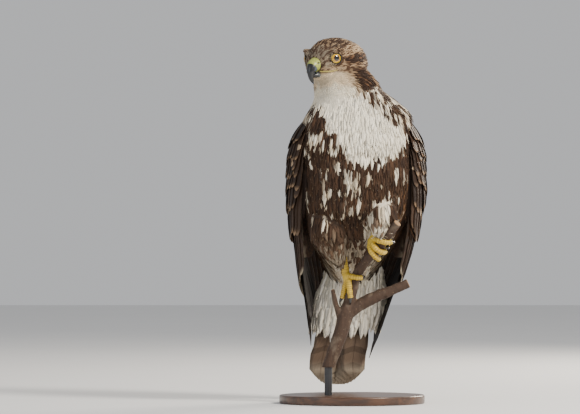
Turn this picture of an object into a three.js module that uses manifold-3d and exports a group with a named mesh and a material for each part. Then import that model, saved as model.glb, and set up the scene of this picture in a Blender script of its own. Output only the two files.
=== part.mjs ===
// Life-size model of a perched red-tailed hawk on a cut forked branch and a plain display stand.
// Millimetres, +Z up. The bird faces -Y with its head turned to its own right, which is -X.
// Shapes are first placed in the bird's own frame; the exported group moves them over the base's centre.
import * as THREE from "three";
import { mergeVertices } from "three/addons/utils/BufferGeometryUtils.js";
import Module from "manifold-3d";

const wasm = await Module();
wasm.setup();

// Driving sizes
const GAP = 0.3; // left between nodes that touch
const BASE_CENTRE_Y = 24; // where the bird's frame stands over the base
const BASE = { rx: 104, ry: 92, height: 12, edge: 2 };
const ROD = { x: -34, y: 0, radius: 5.5 };
const HEAD = { x: -31.7, y: -9, z: 486, yawDeg: 35, pitchDeg: 8 };
const EYE = { f: 22, l: 25.8, u: 8, radius: 10.5, rim: 8.7, outDeg: 59 };
const TAIL = { rootZ: 226, rootY: 79, tipZ: 22, tipY: 126, count: 12, width: 37, thick: 0.6, step: 0.95 };

// The body from rump to throat, lowest row first: height, middle x, half width, front y, back y
const BODY = [
  [172, -2, 17, 62, 93],
  [190, 0, 36, 40, 97],
  [215, 2, 52, 6, 96],
  [250, 4, 71, -40, 93],
  [290, 6, 83, -68, 90],
  [330, 7, 87, -74, 85],
  [370, 6, 85, -72, 77],
  [400, 7, 79, -64, 69],
  [420, 7, 70, -56, 60],
  [435, 2, 58, -51, 53],
  [448, -6, 50, -48, 51],
  [462, -12, 46, -44, 51],
  [480, -20, 38, -36, 47],
];
const BODY_ROUNDNESS = 2.25;

// The head from its front to its nape, in its own frame: distance forward, half width, top, bottom
const SKULL = [
  [-67, 7, 4, -14],
  [-60, 20, 11, -24],
  [-50, 29, 20, -30],
  [-38, 35, 27.5, -32],
  [-24, 37, 32.5, -32],
  [-8, 35.5, 35, -31],
  [8, 31, 34, -29],
  [22, 26, 29, -26],
  [32, 22, 22, -22.5],
  [37, 17, 15.5, -19],
  [40, 8, 8, -13],
];

// The folded wing lies on a sheet round the body, lowest row first:
// height, middle x, half width, middle y, half depth
const WING_SHEET = [
  [60, -16, 46, 100, 34],
  [100, -10, 55, 88, 40],
  [146, -5, 66, 72, 48],
  [190, 0, 78, 54, 58],
  [230, 3, 87, 36, 68],
  [265, 4, 93, 22, 76],
  [302, 6, 97, 13, 81],
  [347, 6, 96, 8, 80],
  [375, 6, 91, 6, 74],
  [400, 6, 80, 5, 65],
  [418, 4, 66, 4, 55],
];
// The wing's fleshy core on that sheet, lowest row first: height, front angle, back angle, thickness
const WING_CORE = [
  [204, 84, 128, 3],
  [225, 72, 140, 6],
  [262, 60, 148, 9],
  [302, 53, 152, 12],
  [345, 50, 153, 13],
  [378, 53, 150, 12],
  [400, 60, 140, 9],
  [412, 74, 122, 4],
];

// Rows of vanes on a folded wing, each row over the roots of the one before.
// front/back hold [root angle, root height, tip angle, tip height] of the first and last vane of the row.
const COVERT_LIFT = [-4.5, -0.6, 4.2];
const SCAPULAR_LIFT = [-3, 3.4, 7.4];
const WING_ROWS = [
  { name: "primaries", count: 7, width: 15, thick: 0.8, lift: [-7, -6, -5], tilt: 0.29, shorter: 18,
    front: [74, 276, 89, 62], back: [98, 258, 124, 112] },
  { name: "secondaries", count: 7, width: 24, thick: 0.7, lift: [-5, -2.2, 0], tilt: 0.1, sag: 8,
    front: [62, 278, 70, 186], back: [134, 298, 142, 140] },
  { name: "greater coverts", count: 6, width: 28, thick: 0.7, lift: COVERT_LIFT, tilt: 0.085,
    front: [59, 322, 63, 246], back: [130, 330, 137, 216] },
  { name: "median coverts", count: 6, width: 26, thick: 0.7, lift: COVERT_LIFT, tilt: 0.09,
    front: [59, 358, 60, 298], back: [124, 362, 131, 268] },
  { name: "lesser coverts", count: 5, width: 27, thick: 0.7, lift: COVERT_LIFT, tilt: 0.085,
    front: [62, 390, 62, 344], back: [118, 392, 124, 326] },
  { name: "long scapulars", count: 3, width: 20, thick: 0.8, lift: SCAPULAR_LIFT, tilt: 0.13,
    front: [142, 310, 142, 236], back: [160, 314, 162, 226] },
  { name: "middle scapulars", count: 3, width: 20, thick: 0.8, lift: SCAPULAR_LIFT, tilt: 0.13,
    front: [139, 348, 140, 290], back: [160, 352, 162, 282] },
  { name: "short scapulars", count: 3, width: 20, thick: 0.8, lift: SCAPULAR_LIFT, tilt: 0.13,
    front: [134, 386, 137, 336], back: [152, 384, 160, 330] },
];
// The space a wing takes out of the trunk: height, front angle, back angle
const WING_ROOM = [
  [165, 60, 154], [200, 58, 160], [226, 55, 172], [262, 51, 172], [300, 47, 172],
  [345, 47, 172], [378, 50, 170], [394, 54, 163], [402, 60, 140],
];
const ROOM_DEPTH = [-7.5, 10];

const MATERIALS = {
  plumage_light: { color: 0xd9cdb8, roughness: 0.85, metalness: 0 },
  plumage_brown: { color: 0x4a3527, roughness: 0.8, metalness: 0 },
  plumage_head: { color: 0x8a6a49, roughness: 0.85, metalness: 0 },
  bill_horn: { color: 0x23262c, roughness: 0.3, metalness: 0 },
  cere_skin: { color: 0x8d9440, roughness: 0.5, metalness: 0 },
  foot_skin: { color: 0xc9a117, roughness: 0.5, metalness: 0 },
  talon_horn: { color: 0x141316, roughness: 0.25, metalness: 0 },
  eye_yellow: { color: 0xd8b20f, roughness: 0.08, metalness: 0 },
  bark: { color: 0x3a2b22, roughness: 0.9, metalness: 0 },
  rod_steel: { color: 0x3c3c3e, roughness: 0.4, metalness: 0.9 },
  base_wood: { color: 0x3f281b, roughness: 0.45, metalness: 0 },
};

// Curves and closed forms

// A smooth curve through rows of [key, values...], as a function of the key that gives the values.
function curveThrough(rows) {
  const keys = rows.map((r) => r[0]);
  const width = rows[0].length - 1;
  const slopes = [];
  for (let c = 1; c <= width; c++) {
    const d = keys.slice(1).map((k, i) => (rows[i + 1][c] - rows[i][c]) / (k - keys[i]));
    slopes.push(keys.map((_, i) => {
      if (i === 0) return d[0];
      if (i === keys.length - 1) return d[i - 1];
      return d[i - 1] * d[i] <= 0 ? 0 : (2 * d[i - 1] * d[i]) / (d[i - 1] + d[i]);
    }));
  }
  return (key) => {
    const k = Math.min(Math.max(key, keys[0]), keys[keys.length - 1]);
    let i = 0;
    while (i < keys.length - 2 && k > keys[i + 1]) i++;
    const h = keys[i + 1] - keys[i];
    const t = (k - keys[i]) / h;
    return slopes.map((m, c) => {
      const [a, b] = [rows[i][c + 1], rows[i + 1][c + 1]];
      return a * (1 + 2 * t) * (1 - t) ** 2 + b * t * t * (3 - 2 * t)
        + m[i] * h * t * (1 - t) ** 2 - m[i + 1] * h * t * t * (1 - t);
    });
  };
}

const radians = THREE.MathUtils.degToRad;
const mix = THREE.MathUtils.lerp;
const vec = (x, y, z) => new THREE.Vector3(x, y, z);

// A closed solid from a stack of rings; at(i, j) is point j of ring i. Its ends are closed by fans.
function ringSolid(rings, sides, at) {
  const points = [];
  for (let i = 0; i < rings; i++) {
    for (let j = 0; j < sides; j++) points.push(at(i, j));
  }
  const middle = (i) => {
    const sum = vec(0, 0, 0);
    for (let j = 0; j < sides; j++) sum.add(points[i * sides + j]);
    return sum.divideScalar(sides);
  };
  points.push(middle(0), middle(rings - 1));
  const [low, high] = [rings * sides, rings * sides + 1];
  const index = [];
  for (let j = 0; j < sides; j++) {
    const k = (j + 1) % sides;
    for (let i = 0; i < rings - 1; i++) {
      const [a, b, c, d] = [i * sides + j, i * sides + k, (i + 1) * sides + k, (i + 1) * sides + j];
      index.push(a, b, c, a, c, d);
    }
    index.push(low, k, j, high, (rings - 1) * sides + j, (rings - 1) * sides + k);
  }
  return solidFrom(points, index);
}

// A thin plate of matching triangles on both faces.
// at(i, c, top) gives row i, column c, lower or upper face.
function plateSolid(rows, columns, at) {
  const points = [];
  for (const top of [false, true]) {
    for (let i = 0; i < rows; i++) {
      for (let c = 0; c < columns; c++) points.push(at(i, c, top));
    }
  }
  const n = rows * columns;
  const index = [];
  for (let i = 0; i < rows - 1; i++) {
    for (let c = 0; c < columns - 1; c++) {
      const a = i * columns + c;
      const [b, d, e] = [a + 1, a + columns, a + columns + 1];
      index.push(a, e, b, a, d, e);
      index.push(n + a, n + b, n + e, n + a, n + e, n + d);
    }
  }
  const wall = (a, b) => index.push(a, b, n + b, a, n + b, n + a);
  for (let c = 0; c < columns - 1; c++) {
    wall(c, c + 1);
    wall((rows - 1) * columns + c + 1, (rows - 1) * columns + c);
  }
  for (let i = 0; i < rows - 1; i++) {
    wall((i + 1) * columns, i * columns);
    wall(i * columns + columns - 1, (i + 1) * columns + columns - 1);
  }
  return solidFrom(points, index);
}

// A manifold solid from points and triangles, turned right side out.
function solidFrom(points, index) {
  const geometry = new THREE.BufferGeometry().setFromPoints(points);
  geometry.setIndex(index);
  return solidOf(geometry);
}

function solidOf(geometry) {
  const g = geometry.clone();
  for (const name of ["normal", "uv"]) g.deleteAttribute(name);
  const merged = mergeVertices(g, 1e-3);
  const triVerts = new Uint32Array(merged.index.array);
  const made = () => new wasm.Manifold(
    new wasm.Mesh({ numProp: 3, vertProperties: merged.attributes.position.array, triVerts }));
  const first = made();
  if (first.volume() > 0) return first;
  for (let i = 0; i < triVerts.length; i += 3) {
    [triVerts[i + 1], triVerts[i + 2]] = [triVerts[i + 2], triVerts[i + 1]];
  }
  return made();
}

function ellipsoid(centre, radii, turn = null, detail = [16, 10]) {
  const g = new THREE.SphereGeometry(1, ...detail);
  g.scale(...radii);
  if (turn) g.applyMatrix4(turn);
  g.translate(centre.x, centre.y, centre.z);
  return solidOf(g);
}

// Joins solids and keeps the largest closed surface.
function join(...solids) {
  return largest(wasm.Manifold.union(solids));
}

function largest(solid) {
  return solid.decompose().reduce((a, b) => (a.volume() >= b.volume() ? a : b));
}

function cut(solid, ...cutters) {
  return largest(cutters.reduce((s, c) => s.subtract(c), solid));
}

// A tube along points with a half width and half height at each; across is the direction of its width.
function taperedTube(path, halves, sides, across = null, grow = 0) {
  const curve = new THREE.CatmullRomCurve3(path, false, "centripetal");
  const last = path.length - 1;
  const frames = path.map((p, i) => {
    const tangent = curve.getTangent(i / last);
    const side = across ? across.clone() : vec(0, 1, 0);
    side.addScaledVector(tangent, -side.dot(tangent)).normalize();
    return { tangent, side, up: tangent.clone().cross(side) };
  });
  return ringSolid(path.length, sides, (i, j) => {
    const { tangent, side, up } = frames[i];
    const turn = (2 * Math.PI * j) / sides;
    const [w, h] = halves[i];
    const end = i === 0 ? -grow : i === last ? grow : 0;
    return path[i].clone().addScaledVector(tangent, end)
      .addScaledVector(side, (w + grow) * Math.cos(turn))
      .addScaledVector(up, (h + grow) * Math.sin(turn));
  });
}

// Body surfaces

const bodyAt = curveThrough(BODY);
const sheetAt = curveThrough(WING_SHEET);
const coreAt = curveThrough(WING_CORE);

function bodyPoint(angle, z, grow = 0) {
  const [x, half, front, back] = bodyAt(z);
  const power = 2 / BODY_ROUNDNESS;
  const [s, c] = [Math.sin(angle), Math.cos(angle)];
  return vec(
    x + (half + grow) * Math.sign(s) * Math.abs(s) ** power,
    (front + back) / 2 - ((back - front) / 2 + grow) * Math.sign(c) * Math.abs(c) ** power,
    z,
  );
}

function bodySolid(grow = 0) {
  const rings = 17;
  const sides = 24;
  const [bottom, top] = [BODY[0][0] - grow, BODY[BODY.length - 1][0] + grow];
  return ringSolid(rings, sides, (i, j) => {
    const z = mix(bottom, top, i / (rings - 1));
    return bodyPoint((2 * Math.PI * j) / sides, z, grow);
  });
}

// A point on a wing's sheet: side is 1 for the bird's left wing, angle counts from the breast,
// w is the height above the sheet.
function wingPoint(side, angleDeg, z, w = 0) {
  const [x, half, y, depth] = sheetAt(z);
  const a = radians(angleDeg);
  const normal = vec((side * Math.sin(a)) / half, -Math.cos(a) / depth, 0).normalize();
  return vec(x + side * half * Math.sin(a), y - depth * Math.cos(a), z).addScaledVector(normal, w);
}

// How far the core's outer face lies under the sheet
const CORE_DEPTH = 1.2;

function wingCore(side, grow = 0) {
  const rings = 9;
  const arc = 7;
  const rows = WING_CORE;
  const [low, high] = [rows[0][0] - grow, rows[rows.length - 1][0] + grow];
  return ringSolid(rings, 2 * arc, (i, j) => {
    const z = mix(low, high, i / (rings - 1));
    const [front, back, thick] = coreAt(z);
    const outer = j < arc;
    const share = (outer ? j : 2 * arc - 1 - j) / (arc - 1);
    const margin = (grow / 90) * (180 / Math.PI);
    const angle = mix(front - margin, back + margin, share);
    const edge = 0.3 + 0.7 * Math.sqrt(1 - (2 * share - 1) ** 2);
    const w = outer ? -CORE_DEPTH - thick * (1 - edge) * 0.3 + grow : -CORE_DEPTH - thick * edge - grow;
    return wingPoint(side, angle, z, w);
  });
}

// Vanes

// Half width along a vane, from root to tip, as a share of its full half width
const vaneShape = curveThrough([[0, 0.45], [0.3, 0.88], [0.6, 1], [0.82, 0.95], [0.93, 0.7], [1, 0.25]]);
const LONG_VANE = [0, 0.3, 0.65, 0.88, 1];
const SHORT_VANE = [0, 0.4, 0.84, 1];

// One flat vane on a wing's sheet. Tilt lays its rear edge under its neighbour nearer the back.
function wingVane(side, row, share) {
  const [rootAngle, rootZ, tipAngle, tipZ] = row.front.map((v, i) => mix(v, row.back[i], share));
  const sagged = tipZ - (row.sag || 0) * 4 * share * (1 - share) + (side > 0 ? 0 : row.shorter || 0);
  const liftAt = curveThrough([[0, row.lift[0]], [0.4, row.lift[1]], [1, row.lift[2]]]);
  const stations = rootZ - tipZ > 100 ? LONG_VANE : SHORT_VANE;
  return plateSolid(stations.length, 2, (i, c, top) => {
    const s = stations[i];
    const t = (c * 2 - 1) * (row.width / 2) * vaneShape(s)[0];
    const z = mix(rootZ, sagged, s);
    const angle = mix(rootAngle, tipAngle, s);
    const lift = liftAt(s)[0] - row.tilt * t + (top ? 0.5 : -0.5) * row.thick;
    return wingPoint(side, angle + degreesOnSheet(t, angle, z), z, lift);
  });
}

// How many degrees round the wing's sheet a sideways length takes
function degreesOnSheet(length, angle, z) {
  const [, half, , depth] = sheetAt(z);
  const a = radians(angle);
  return THREE.MathUtils.radToDeg(length / Math.hypot(half * Math.cos(a), depth * Math.sin(a)));
}

const inRow = (count, make) => Array.from({ length: count }, (_, k) => make(k / (count - 1), k));

function wing(side) {
  const vanes = WING_ROWS.flatMap((row) => inRow(row.count, (share) => wingVane(side, row, share)));
  return join(wingCore(side), ...vanes);
}

// The room a wing takes out of its neighbours: its core, and a thick shell where its vanes lie
function wingRoom(side) {
  const columns = 8;
  const shell = plateSolid(WING_ROOM.length, columns, (i, c, top) => {
    const [z, front, back] = WING_ROOM[i];
    return wingPoint(side, mix(front, back, c / (columns - 1)), z, ROOM_DEPTH[top ? 1 : 0]);
  });
  return wingCore(side, GAP).add(shell);
}

// Tail

// A point of the tail: s runs root to tip, t is sideways, w is height on its upper, rear side.
function tailPoint(s, t, w) {
  const z = mix(TAIL.rootZ, TAIL.tipZ, s);
  const [x] = sheetAt(z);
  const lean = -6 * s * s;
  const slope = Math.atan2(TAIL.tipY - TAIL.rootY, TAIL.rootZ - TAIL.tipZ);
  const y = mix(TAIL.rootY, TAIL.tipY, s) - (t * t) / 900;
  return vec(x + lean + t, y + (w + 3) * Math.cos(slope), z + (w + 3) * Math.sin(slope));
}

// One tail feather of a stack: the middle pair lies uppermost and each next pair further down and out
function rectrix(k) {
  const place = k - (TAIL.count - 1) / 2;
  const outward = Math.floor(Math.abs(place));
  const length = 1 - 0.0032 * outward * outward;
  const w = -(2 * outward + (place > 0 ? 1 : 0)) * TAIL.step;
  return plateSolid(LONG_VANE.length, 2, (i, c, top) => {
    const s = LONG_VANE[i];
    const half = (TAIL.width / 2) * Math.max(vaneShape(s)[0], 0.35);
    const t = place * mix(2, 4.4, s) + (c * 2 - 1) * half;
    return tailPoint(s * length, t, w + (top ? 0.5 : -0.5) * TAIL.thick);
  });
}

// Coverts under and over the tail's root: rows of vanes with their tips at a share of the tail's length
const TAIL_COVERTS = [
  { tip: 0.66, count: 5, spread: 38, width: 26, w: -15 },
  { tip: 0.54, count: 6, spread: 46, width: 25, w: -19.5 },
  { tip: 0.38, count: 5, spread: 44, width: 30, w: -24 },
  { tip: 0.36, count: 4, spread: 25, width: 27, w: 3.6 },
  { tip: 0.2, count: 4, spread: 27, width: 30, w: 6.6 },
];

function tailCovert(row, share, k) {
  const side = share * 2 - 1;
  const tip = row.tip * (1 - 0.22 * side * side);
  return plateSolid(SHORT_VANE.length, 2, (i, c, top) => {
    const s = SHORT_VANE[i];
    const half = (row.width / 2) * Math.max(vaneShape(s)[0], 0.4);
    const t = side * row.spread * mix(0.6, 1, s) + (c * 2 - 1) * half;
    const w = row.w * mix(0.8, 1, s) + (k % 2 ? 1.2 : 0) + (top ? 0.4 : -0.4);
    return tailPoint(mix(-0.03, tip, s), t, w);
  });
}

// The room the tail's feathers take out of the trunk
function tailRoom() {
  return plateSolid(4, 3, (i, c, top) => tailPoint(mix(-0.06, 0.7, i / 3), (c - 1) * 62, top ? 11 : -27));
}

// The plane that parts the rump from the torso, as its normal and its distance from the origin
const RUMP_NORMAL = [0, 0.75, -0.66];
const RUMP_PLANE = -86;

function tailRoot() {
  return bodySolid().trimByPlane(RUMP_NORMAL, RUMP_PLANE);
}

function tail() {
  const long = inRow(TAIL.count, (_, k) => rectrix(k));
  const short = TAIL_COVERTS.flatMap((row) => inRow(row.count, (share, k) => tailCovert(row, share, k)));
  return join(tailRoot(), ...long, ...short);
}

// Head, in its own frame: x forward to the bill, y to the bird's left, z up

const headMatrix = new THREE.Matrix4()
  .makeTranslation(HEAD.x, HEAD.y, HEAD.z)
  .multiply(new THREE.Matrix4().makeRotationZ(radians(-90 - HEAD.yawDeg)))
  .multiply(new THREE.Matrix4().makeRotationY(radians(HEAD.pitchDeg)));

const onHead = (solid) => solid.transform(headMatrix.elements);

function eyeCentre(side) {
  return vec(EYE.f, side * EYE.l, EYE.u).addScaledVector(eyeOut(side), -EYE_SINK);
}

const EYE_SINK = Math.sqrt(EYE.radius ** 2 - EYE.rim ** 2);

function eyeOut(side) {
  const a = radians(EYE.outDeg);
  return vec(Math.cos(a), side * Math.sin(a), 0.06).normalize();
}

function eyeball(side, grow = 0) {
  const r = EYE.radius + grow;
  return ellipsoid(eyeCentre(side), [r, r, r], null, [14, 9]);
}

function eyelid(side) {
  const lid = { radius: EYE.rim + 0.7, thickness: 1.5, rise: 0.8 };
  const g = new THREE.TorusGeometry(lid.radius, lid.thickness, 6, 16);
  const turn = new THREE.Quaternion().setFromUnitVectors(vec(0, 0, 1), eyeOut(side));
  g.applyQuaternion(turn);
  const at = eyeCentre(side).addScaledVector(eyeOut(side), EYE_SINK + lid.rise);
  g.translate(at.x, at.y, at.z);
  return solidOf(g);
}

function brow(side) {
  const path = [[40, 11, 13], [33, 18, 17.5], [25, 22.8, 20], [15, 26.4, 20.5], [5, 28.5, 17.5]]
    .map(([f, l, u]) => vec(f, side * l, u));
  return taperedTube(path, [[2, 1.6], [4, 3], [5.2, 3.6], [5, 3.6], [2, 1.6]], 8, vec(0, side, 0.2));
}

// Skull form: rings from nape to face, flatter on the crown than at the jaw
const skullAt = curveThrough(SKULL);

function skull() {
  const rings = 13;
  const sides = 20;
  const [back, front] = [SKULL[0][0], SKULL[SKULL.length - 1][0]];
  return ringSolid(rings, sides, (i, j) => {
    const f = mix(back, front, 0.5 - 0.5 * Math.cos((Math.PI * i) / (rings - 1)));
    const [half, top, bottom] = skullAt(f);
    const turn = (2 * Math.PI * j) / sides;
    const [c, h] = [Math.cos(turn), Math.sin(turn)];
    const height = ((top - bottom) / 2) * Math.sign(h) * Math.abs(h) ** 0.92;
    return vec(f, half * Math.sign(c) * Math.abs(c) ** 0.9, (top + bottom) / 2 + height);
  });
}

// The bill's middle line in profile with its half width and half height, base to tip
const BILL = [
  [26, 1.8, 11, 9.7], [35, 1.2, 10.2, 9.7], [42, -0.3, 9, 9.1], [47, -3.5, 7.2, 7.4],
  [50, -9, 5.5, 5.3], [50.2, -15, 4, 3.9], [48.4, -20.5, 2.6, 2.6], [45, -25.8, 0.6, 0.5],
];
const LOWER_BILL = [
  [24, -12.4, 10.5, 5], [34, -13, 9.2, 5], [40, -13.4, 7.4, 4.4],
  [44.5, -13.8, 5.2, 3.2], [48, -14, 2, 1.3],
];
const CERE_FRONT = 45.5;
const CERE_NORMAL = [-1, 0, 0.1];

function billTube(rows, sides, grow) {
  const path = rows.map(([f, u]) => vec(f, 0, u));
  return taperedTube(path, rows.map(([, , w, h]) => [w, h]), sides, vec(0, 1, 0), grow);
}

const upperBill = (grow = 0) => billTube(BILL, 12, grow);
const lowerBill = (grow = 0) => billTube(LOWER_BILL, 10, grow);

function nostril(side) {
  const turn = new THREE.Matrix4().makeRotationX(radians(side * -20));
  return ellipsoid(vec(42.6, side * 8.2, 3), [2.2, 2.4, 1.6], turn, [8, 6]);
}

// The mouth's corner runs back from the bill under the eye as a thin slot.
function gape(side) {
  const path = [[40, 9, -9.2], [34, 13.5, -9.6], [27, 19, -9.6], [20, 24.5, -8.8], [15, 28, -8]]
    .map(([f, l, u]) => vec(f, side * l, u));
  return taperedTube(path, [[4, 0.6], [4, 0.6], [4.5, 0.6], [4, 0.5], [2.4, 0.3]], 6, vec(0.5, side, 0));
}

// Legs

const LEGS = {
  right: {
    thigh: [vec(-34, -14, 272), vec(-33, -20, 250),
      vec(-28, -17, 228), vec(-20, -11, 210), vec(-14, -8, 199)],
    thighHalves: [[34, 34], [31, 31], [24, 24], [15.5, 15.5], [8.5, 8.5]],
    shank: [vec(-13, -8, 201), vec(-9.5, -7, 187)],
    grip: vec(4, -5, 178), limb: vec(0.26, -0.22, 0.94), limbRadius: 7.2, lean: vec(-0.8, -0.25, 0.3),
    toes: [
      { name: "1", from: -30, to: -128, start: 1, end: -3, radius: 4.2, talonTo: -172, talonDrop: -3 },
      { name: "2", from: 20, to: 118, start: 4, end: 6, radius: 4.1, talonTo: 168, talonDrop: 3 },
      { name: "3", from: 32, to: 78, start: -3, end: -25, radius: 4.3, talonTo: 92, talonDrop: -14 },
      { name: "4", from: 4, to: 6, start: -5, end: -31, radius: 4, talonTo: 10, talonDrop: -13 },
    ],
  },
  left: {
    thigh: [vec(36, -30, 286), vec(38, -41, 268), vec(37, -46, 254), vec(33, -46, 245)],
    thighHalves: [[33, 33], [28, 27], [20, 18], [9, 8]],
    shank: [vec(32.5, -45.5, 247), vec(31, -45, 238)],
    grip: vec(37, -41, 225), limb: vec(0.565, -0.4, 0.72), limbRadius: 6.8, lean: vec(-0.6, -0.15, 0.75),
    toes: [
      { name: "1", from: -30, to: -150, start: 2, end: 6, radius: 4.1, talonTo: -212 },
      { name: "2", from: 20, to: 165, start: -6, end: -15, radius: 4.1, talonTo: 225 },
      { name: "3", from: 20, to: 185, start: 0, end: -2, radius: 4.3, talonTo: 245 },
      { name: "4", from: 20, to: 150, start: 7, end: 19, radius: 3.9, talonTo: 212 },
    ],
  },
};
const TALON_RADIUS = 2.9;

// Unit directions at a grip: along the limb, out towards the shank, and forward round it
function gripFrame(leg) {
  const along = leg.limb.clone().normalize();
  const out = leg.lean.clone().addScaledVector(along, -leg.lean.dot(along)).normalize();
  const round = along.clone().cross(out);
  if (round.y > 0) round.negate();
  return { along, out, round };
}

function gripPoint(leg, degrees, offset, distance) {
  const { along, out, round } = gripFrame(leg);
  const a = radians(degrees);
  return leg.grip.clone().addScaledVector(along, offset)
    .addScaledVector(out, distance * Math.cos(a)).addScaledVector(round, distance * Math.sin(a));
}

function toe(leg, t, grow = 0) {
  const steps = 6;
  const path = [];
  const halves = [];
  for (let i = 0; i <= steps; i++) {
    const s = i / steps;
    const r = t.radius * (1 - 0.18 * s) * (1 + 0.08 * Math.cos(Math.PI * i));
    path.push(gripPoint(leg, mix(t.from, t.to, s), mix(t.start, t.end, s), leg.limbRadius + t.radius + 0.4));
    halves.push([r, r]);
  }
  return taperedTube(path, halves, 7, toeSide(leg, t), grow);
}

// Which way a toe is wide: along the limb where it wraps round it, and across where it runs down it
function toeSide(leg, t) {
  const { along, round } = gripFrame(leg);
  return Math.abs(t.to - t.from) > 60 ? along : round;
}

function talon(leg, t, grow = 0) {
  const steps = 5;
  const drop = t.talonDrop || (t.end - t.start) * 0.12;
  const path = [];
  const halves = [];
  for (let i = 0; i <= steps; i++) {
    const s = i / steps;
    const r = mix(TALON_RADIUS, 0.35, s ** 0.8);
    const distance = leg.limbRadius + mix(t.radius, 1.2, s) + 0.5 + 2.6 * Math.sin(Math.PI * s);
    path.push(gripPoint(leg, mix(t.to, t.talonTo, s), t.end + drop * s, distance));
    halves.push([r * 0.85, r]);
  }
  return taperedTube(path, halves, 6, toeSide(leg, t), grow);
}

function palm(leg, grow = 0) {
  const centre = gripPoint(leg, 0, 0, leg.limbRadius + 6);
  const r = 7.4 + grow;
  return ellipsoid(centre, [r, r, r * 0.92], null, [10, 7]);
}

function foot(leg, grow = 0) {
  const pieces = [palm(leg, grow), ...leg.toes.map((t) => toe(leg, t, grow))];
  return join(...pieces);
}

function thigh(leg, grow = 0) {
  return taperedTube(leg.thigh, leg.thighHalves, 16, vec(1, 0, 0), grow);
}

function shank(leg, grow = 0) {
  const path = [leg.shank[0], leg.shank[0].clone().lerp(leg.shank[1], 0.5), leg.shank[1]];
  return taperedTube(path, [[5, 5], [4.8, 4.8], [5.4, 5.4]], 10, vec(1, 0, 0), grow);
}

// Perch: a stem that forks into a right limb and a diagonal limb
const PERCH_LIMBS = [
  { path: [vec(-35, 0, 49), vec(-29, 0, 66), vec(-21, 0, 88),
      vec(-14, 0, 108), vec(-9, 0, 128), vec(-5, 0, 143)],
    radii: [9, 9.2, 9.8, 10.4, 11, 8.5], sides: 11 },
  { path: [vec(-12, 1, 122), vec(2, 1, 135), vec(20, 1, 146),
      vec(40, 0, 155), vec(60, -1, 163), vec(80, -2, 172)],
    radii: [8, 9.2, 8.8, 8, 7, 6.6], sides: 11 },
  { path: [vec(-9, 1, 124), vec(-4, 0, 146), vec(4, -5, 178), vec(17, -20, 201), vec(37, -41, 225),
    vec(51, -52, 243), vec(63, -61, 258)],
    radii: [8, 8.6, 7.2, 6.9, 6.8, 6.4, 6], sides: 10 },
  { path: [vec(-14, 0, 116), vec(-20, -3, 132), vec(-25, -5, 148), vec(-28, -6, 163)],
    radii: [6, 4.4, 3.6, 3], sides: 8 },
];

function limb({ path, radii, sides }, grow = 0) {
  return taperedTube(path, radii.map((r) => [r, r]), sides, vec(0.3, 1, 0.1), grow);
}

function perch() {
  const level = BASE.height + GAP + ROD_TOP;
  return largest(join(...PERCH_LIMBS.map((l) => limb(l))).trimByPlane([0, 0, 1], level));
}
const ROD_TOP = 40;

function rod() {
  const g = new THREE.CylinderGeometry(ROD.radius, ROD.radius, ROD_TOP - 2 * GAP, 24);
  g.rotateX(Math.PI / 2);
  g.translate(ROD.x, ROD.y, BASE.height + ROD_TOP / 2 + GAP / 2);
  return solidOf(g);
}

function base() {
  const { height, edge } = BASE;
  const profile = [[0, 0], [1, 0], [1, height - edge], [1 - edge / BASE.rx, height], [0, height]]
    .map(([r, y]) => new THREE.Vector2(r, y));
  const g = new THREE.LatheGeometry(profile, 48);
  g.rotateX(Math.PI / 2);
  g.scale(BASE.rx, BASE.ry, 1);
  g.translate(0, BASE_CENTRE_Y, 0);
  return solidOf(g);
}

// Assembly

const group = new THREE.Group();
group.position.y = -BASE_CENTRE_Y;

// Adds a node. Slivers thinner than the fuse are melted into their neighbours.
const FUSE = 0.06;

function add(name, solid, material) {
  const mesh = largest(solid.asOriginal().simplify(FUSE)).getMesh();
  const g = new THREE.BufferGeometry();
  const n = mesh.numProp;
  const positions = new Float32Array(mesh.numVert * 3);
  for (let i = 0; i < mesh.numVert; i++) {
    positions.set(mesh.vertProperties.subarray(i * n, i * n + 3), i * 3);
  }
  g.setAttribute("position", new THREE.BufferAttribute(positions, 3));
  g.setIndex(new THREE.BufferAttribute(mesh.triVerts, 1));
  g.computeVertexNormals();
  const made = new THREE.Mesh(g, new THREE.MeshStandardMaterial(MATERIALS[material]));
  made.name = name;
  group.add(made);
}

const SIDES = { right: -1, left: 1 };
const turned = (normal) => normal.map((v) => -v);

// Head pieces
const eyes = { right: onHead(eyeball(-1)), left: onHead(eyeball(1)) };
const wholeHead = onHead(join(skull(), brow(1), brow(-1), eyelid(1), eyelid(-1)));
const bill = cut(upperBill(), nostril(1), nostril(-1));
add("cere", onHead(bill.trimByPlane(CERE_NORMAL, -CERE_FRONT)), "cere_skin");
add("upper_bill", onHead(bill.trimByPlane(turned(CERE_NORMAL), CERE_FRONT + GAP)), "bill_horn");
add("lower_bill", onHead(cut(lowerBill(), upperBill(GAP))), "bill_horn");
add("eye_right", eyes.right, "eye_yellow");
add("eye_left", eyes.left, "eye_yellow");

// The flesh of head, neck and torso is one form, parted by thin cuts
const HEAD_NORMAL = [-0.28, -0.34, 0.9];
const HEAD_PLANE = 424.5;
const NECK_NORMAL = [0, 0, 1];
const NECK_PLANE = 424;
const faceCutters = [eyeball(1, GAP), eyeball(-1, GAP), upperBill(GAP), lowerBill(GAP), gape(1), gape(-1)];
const headCutters = faceCutters.map(onHead);
const flesh = cut(join(bodySolid(), wholeHead), ...headCutters);
const aboveNeck = flesh.trimByPlane(NECK_NORMAL, NECK_PLANE + GAP);
add("head", largest(aboveNeck.trimByPlane(HEAD_NORMAL, HEAD_PLANE + GAP)), "plumage_head");
add("neck", largest(aboveNeck.trimByPlane(turned(HEAD_NORMAL), -HEAD_PLANE)), "plumage_light");

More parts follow.
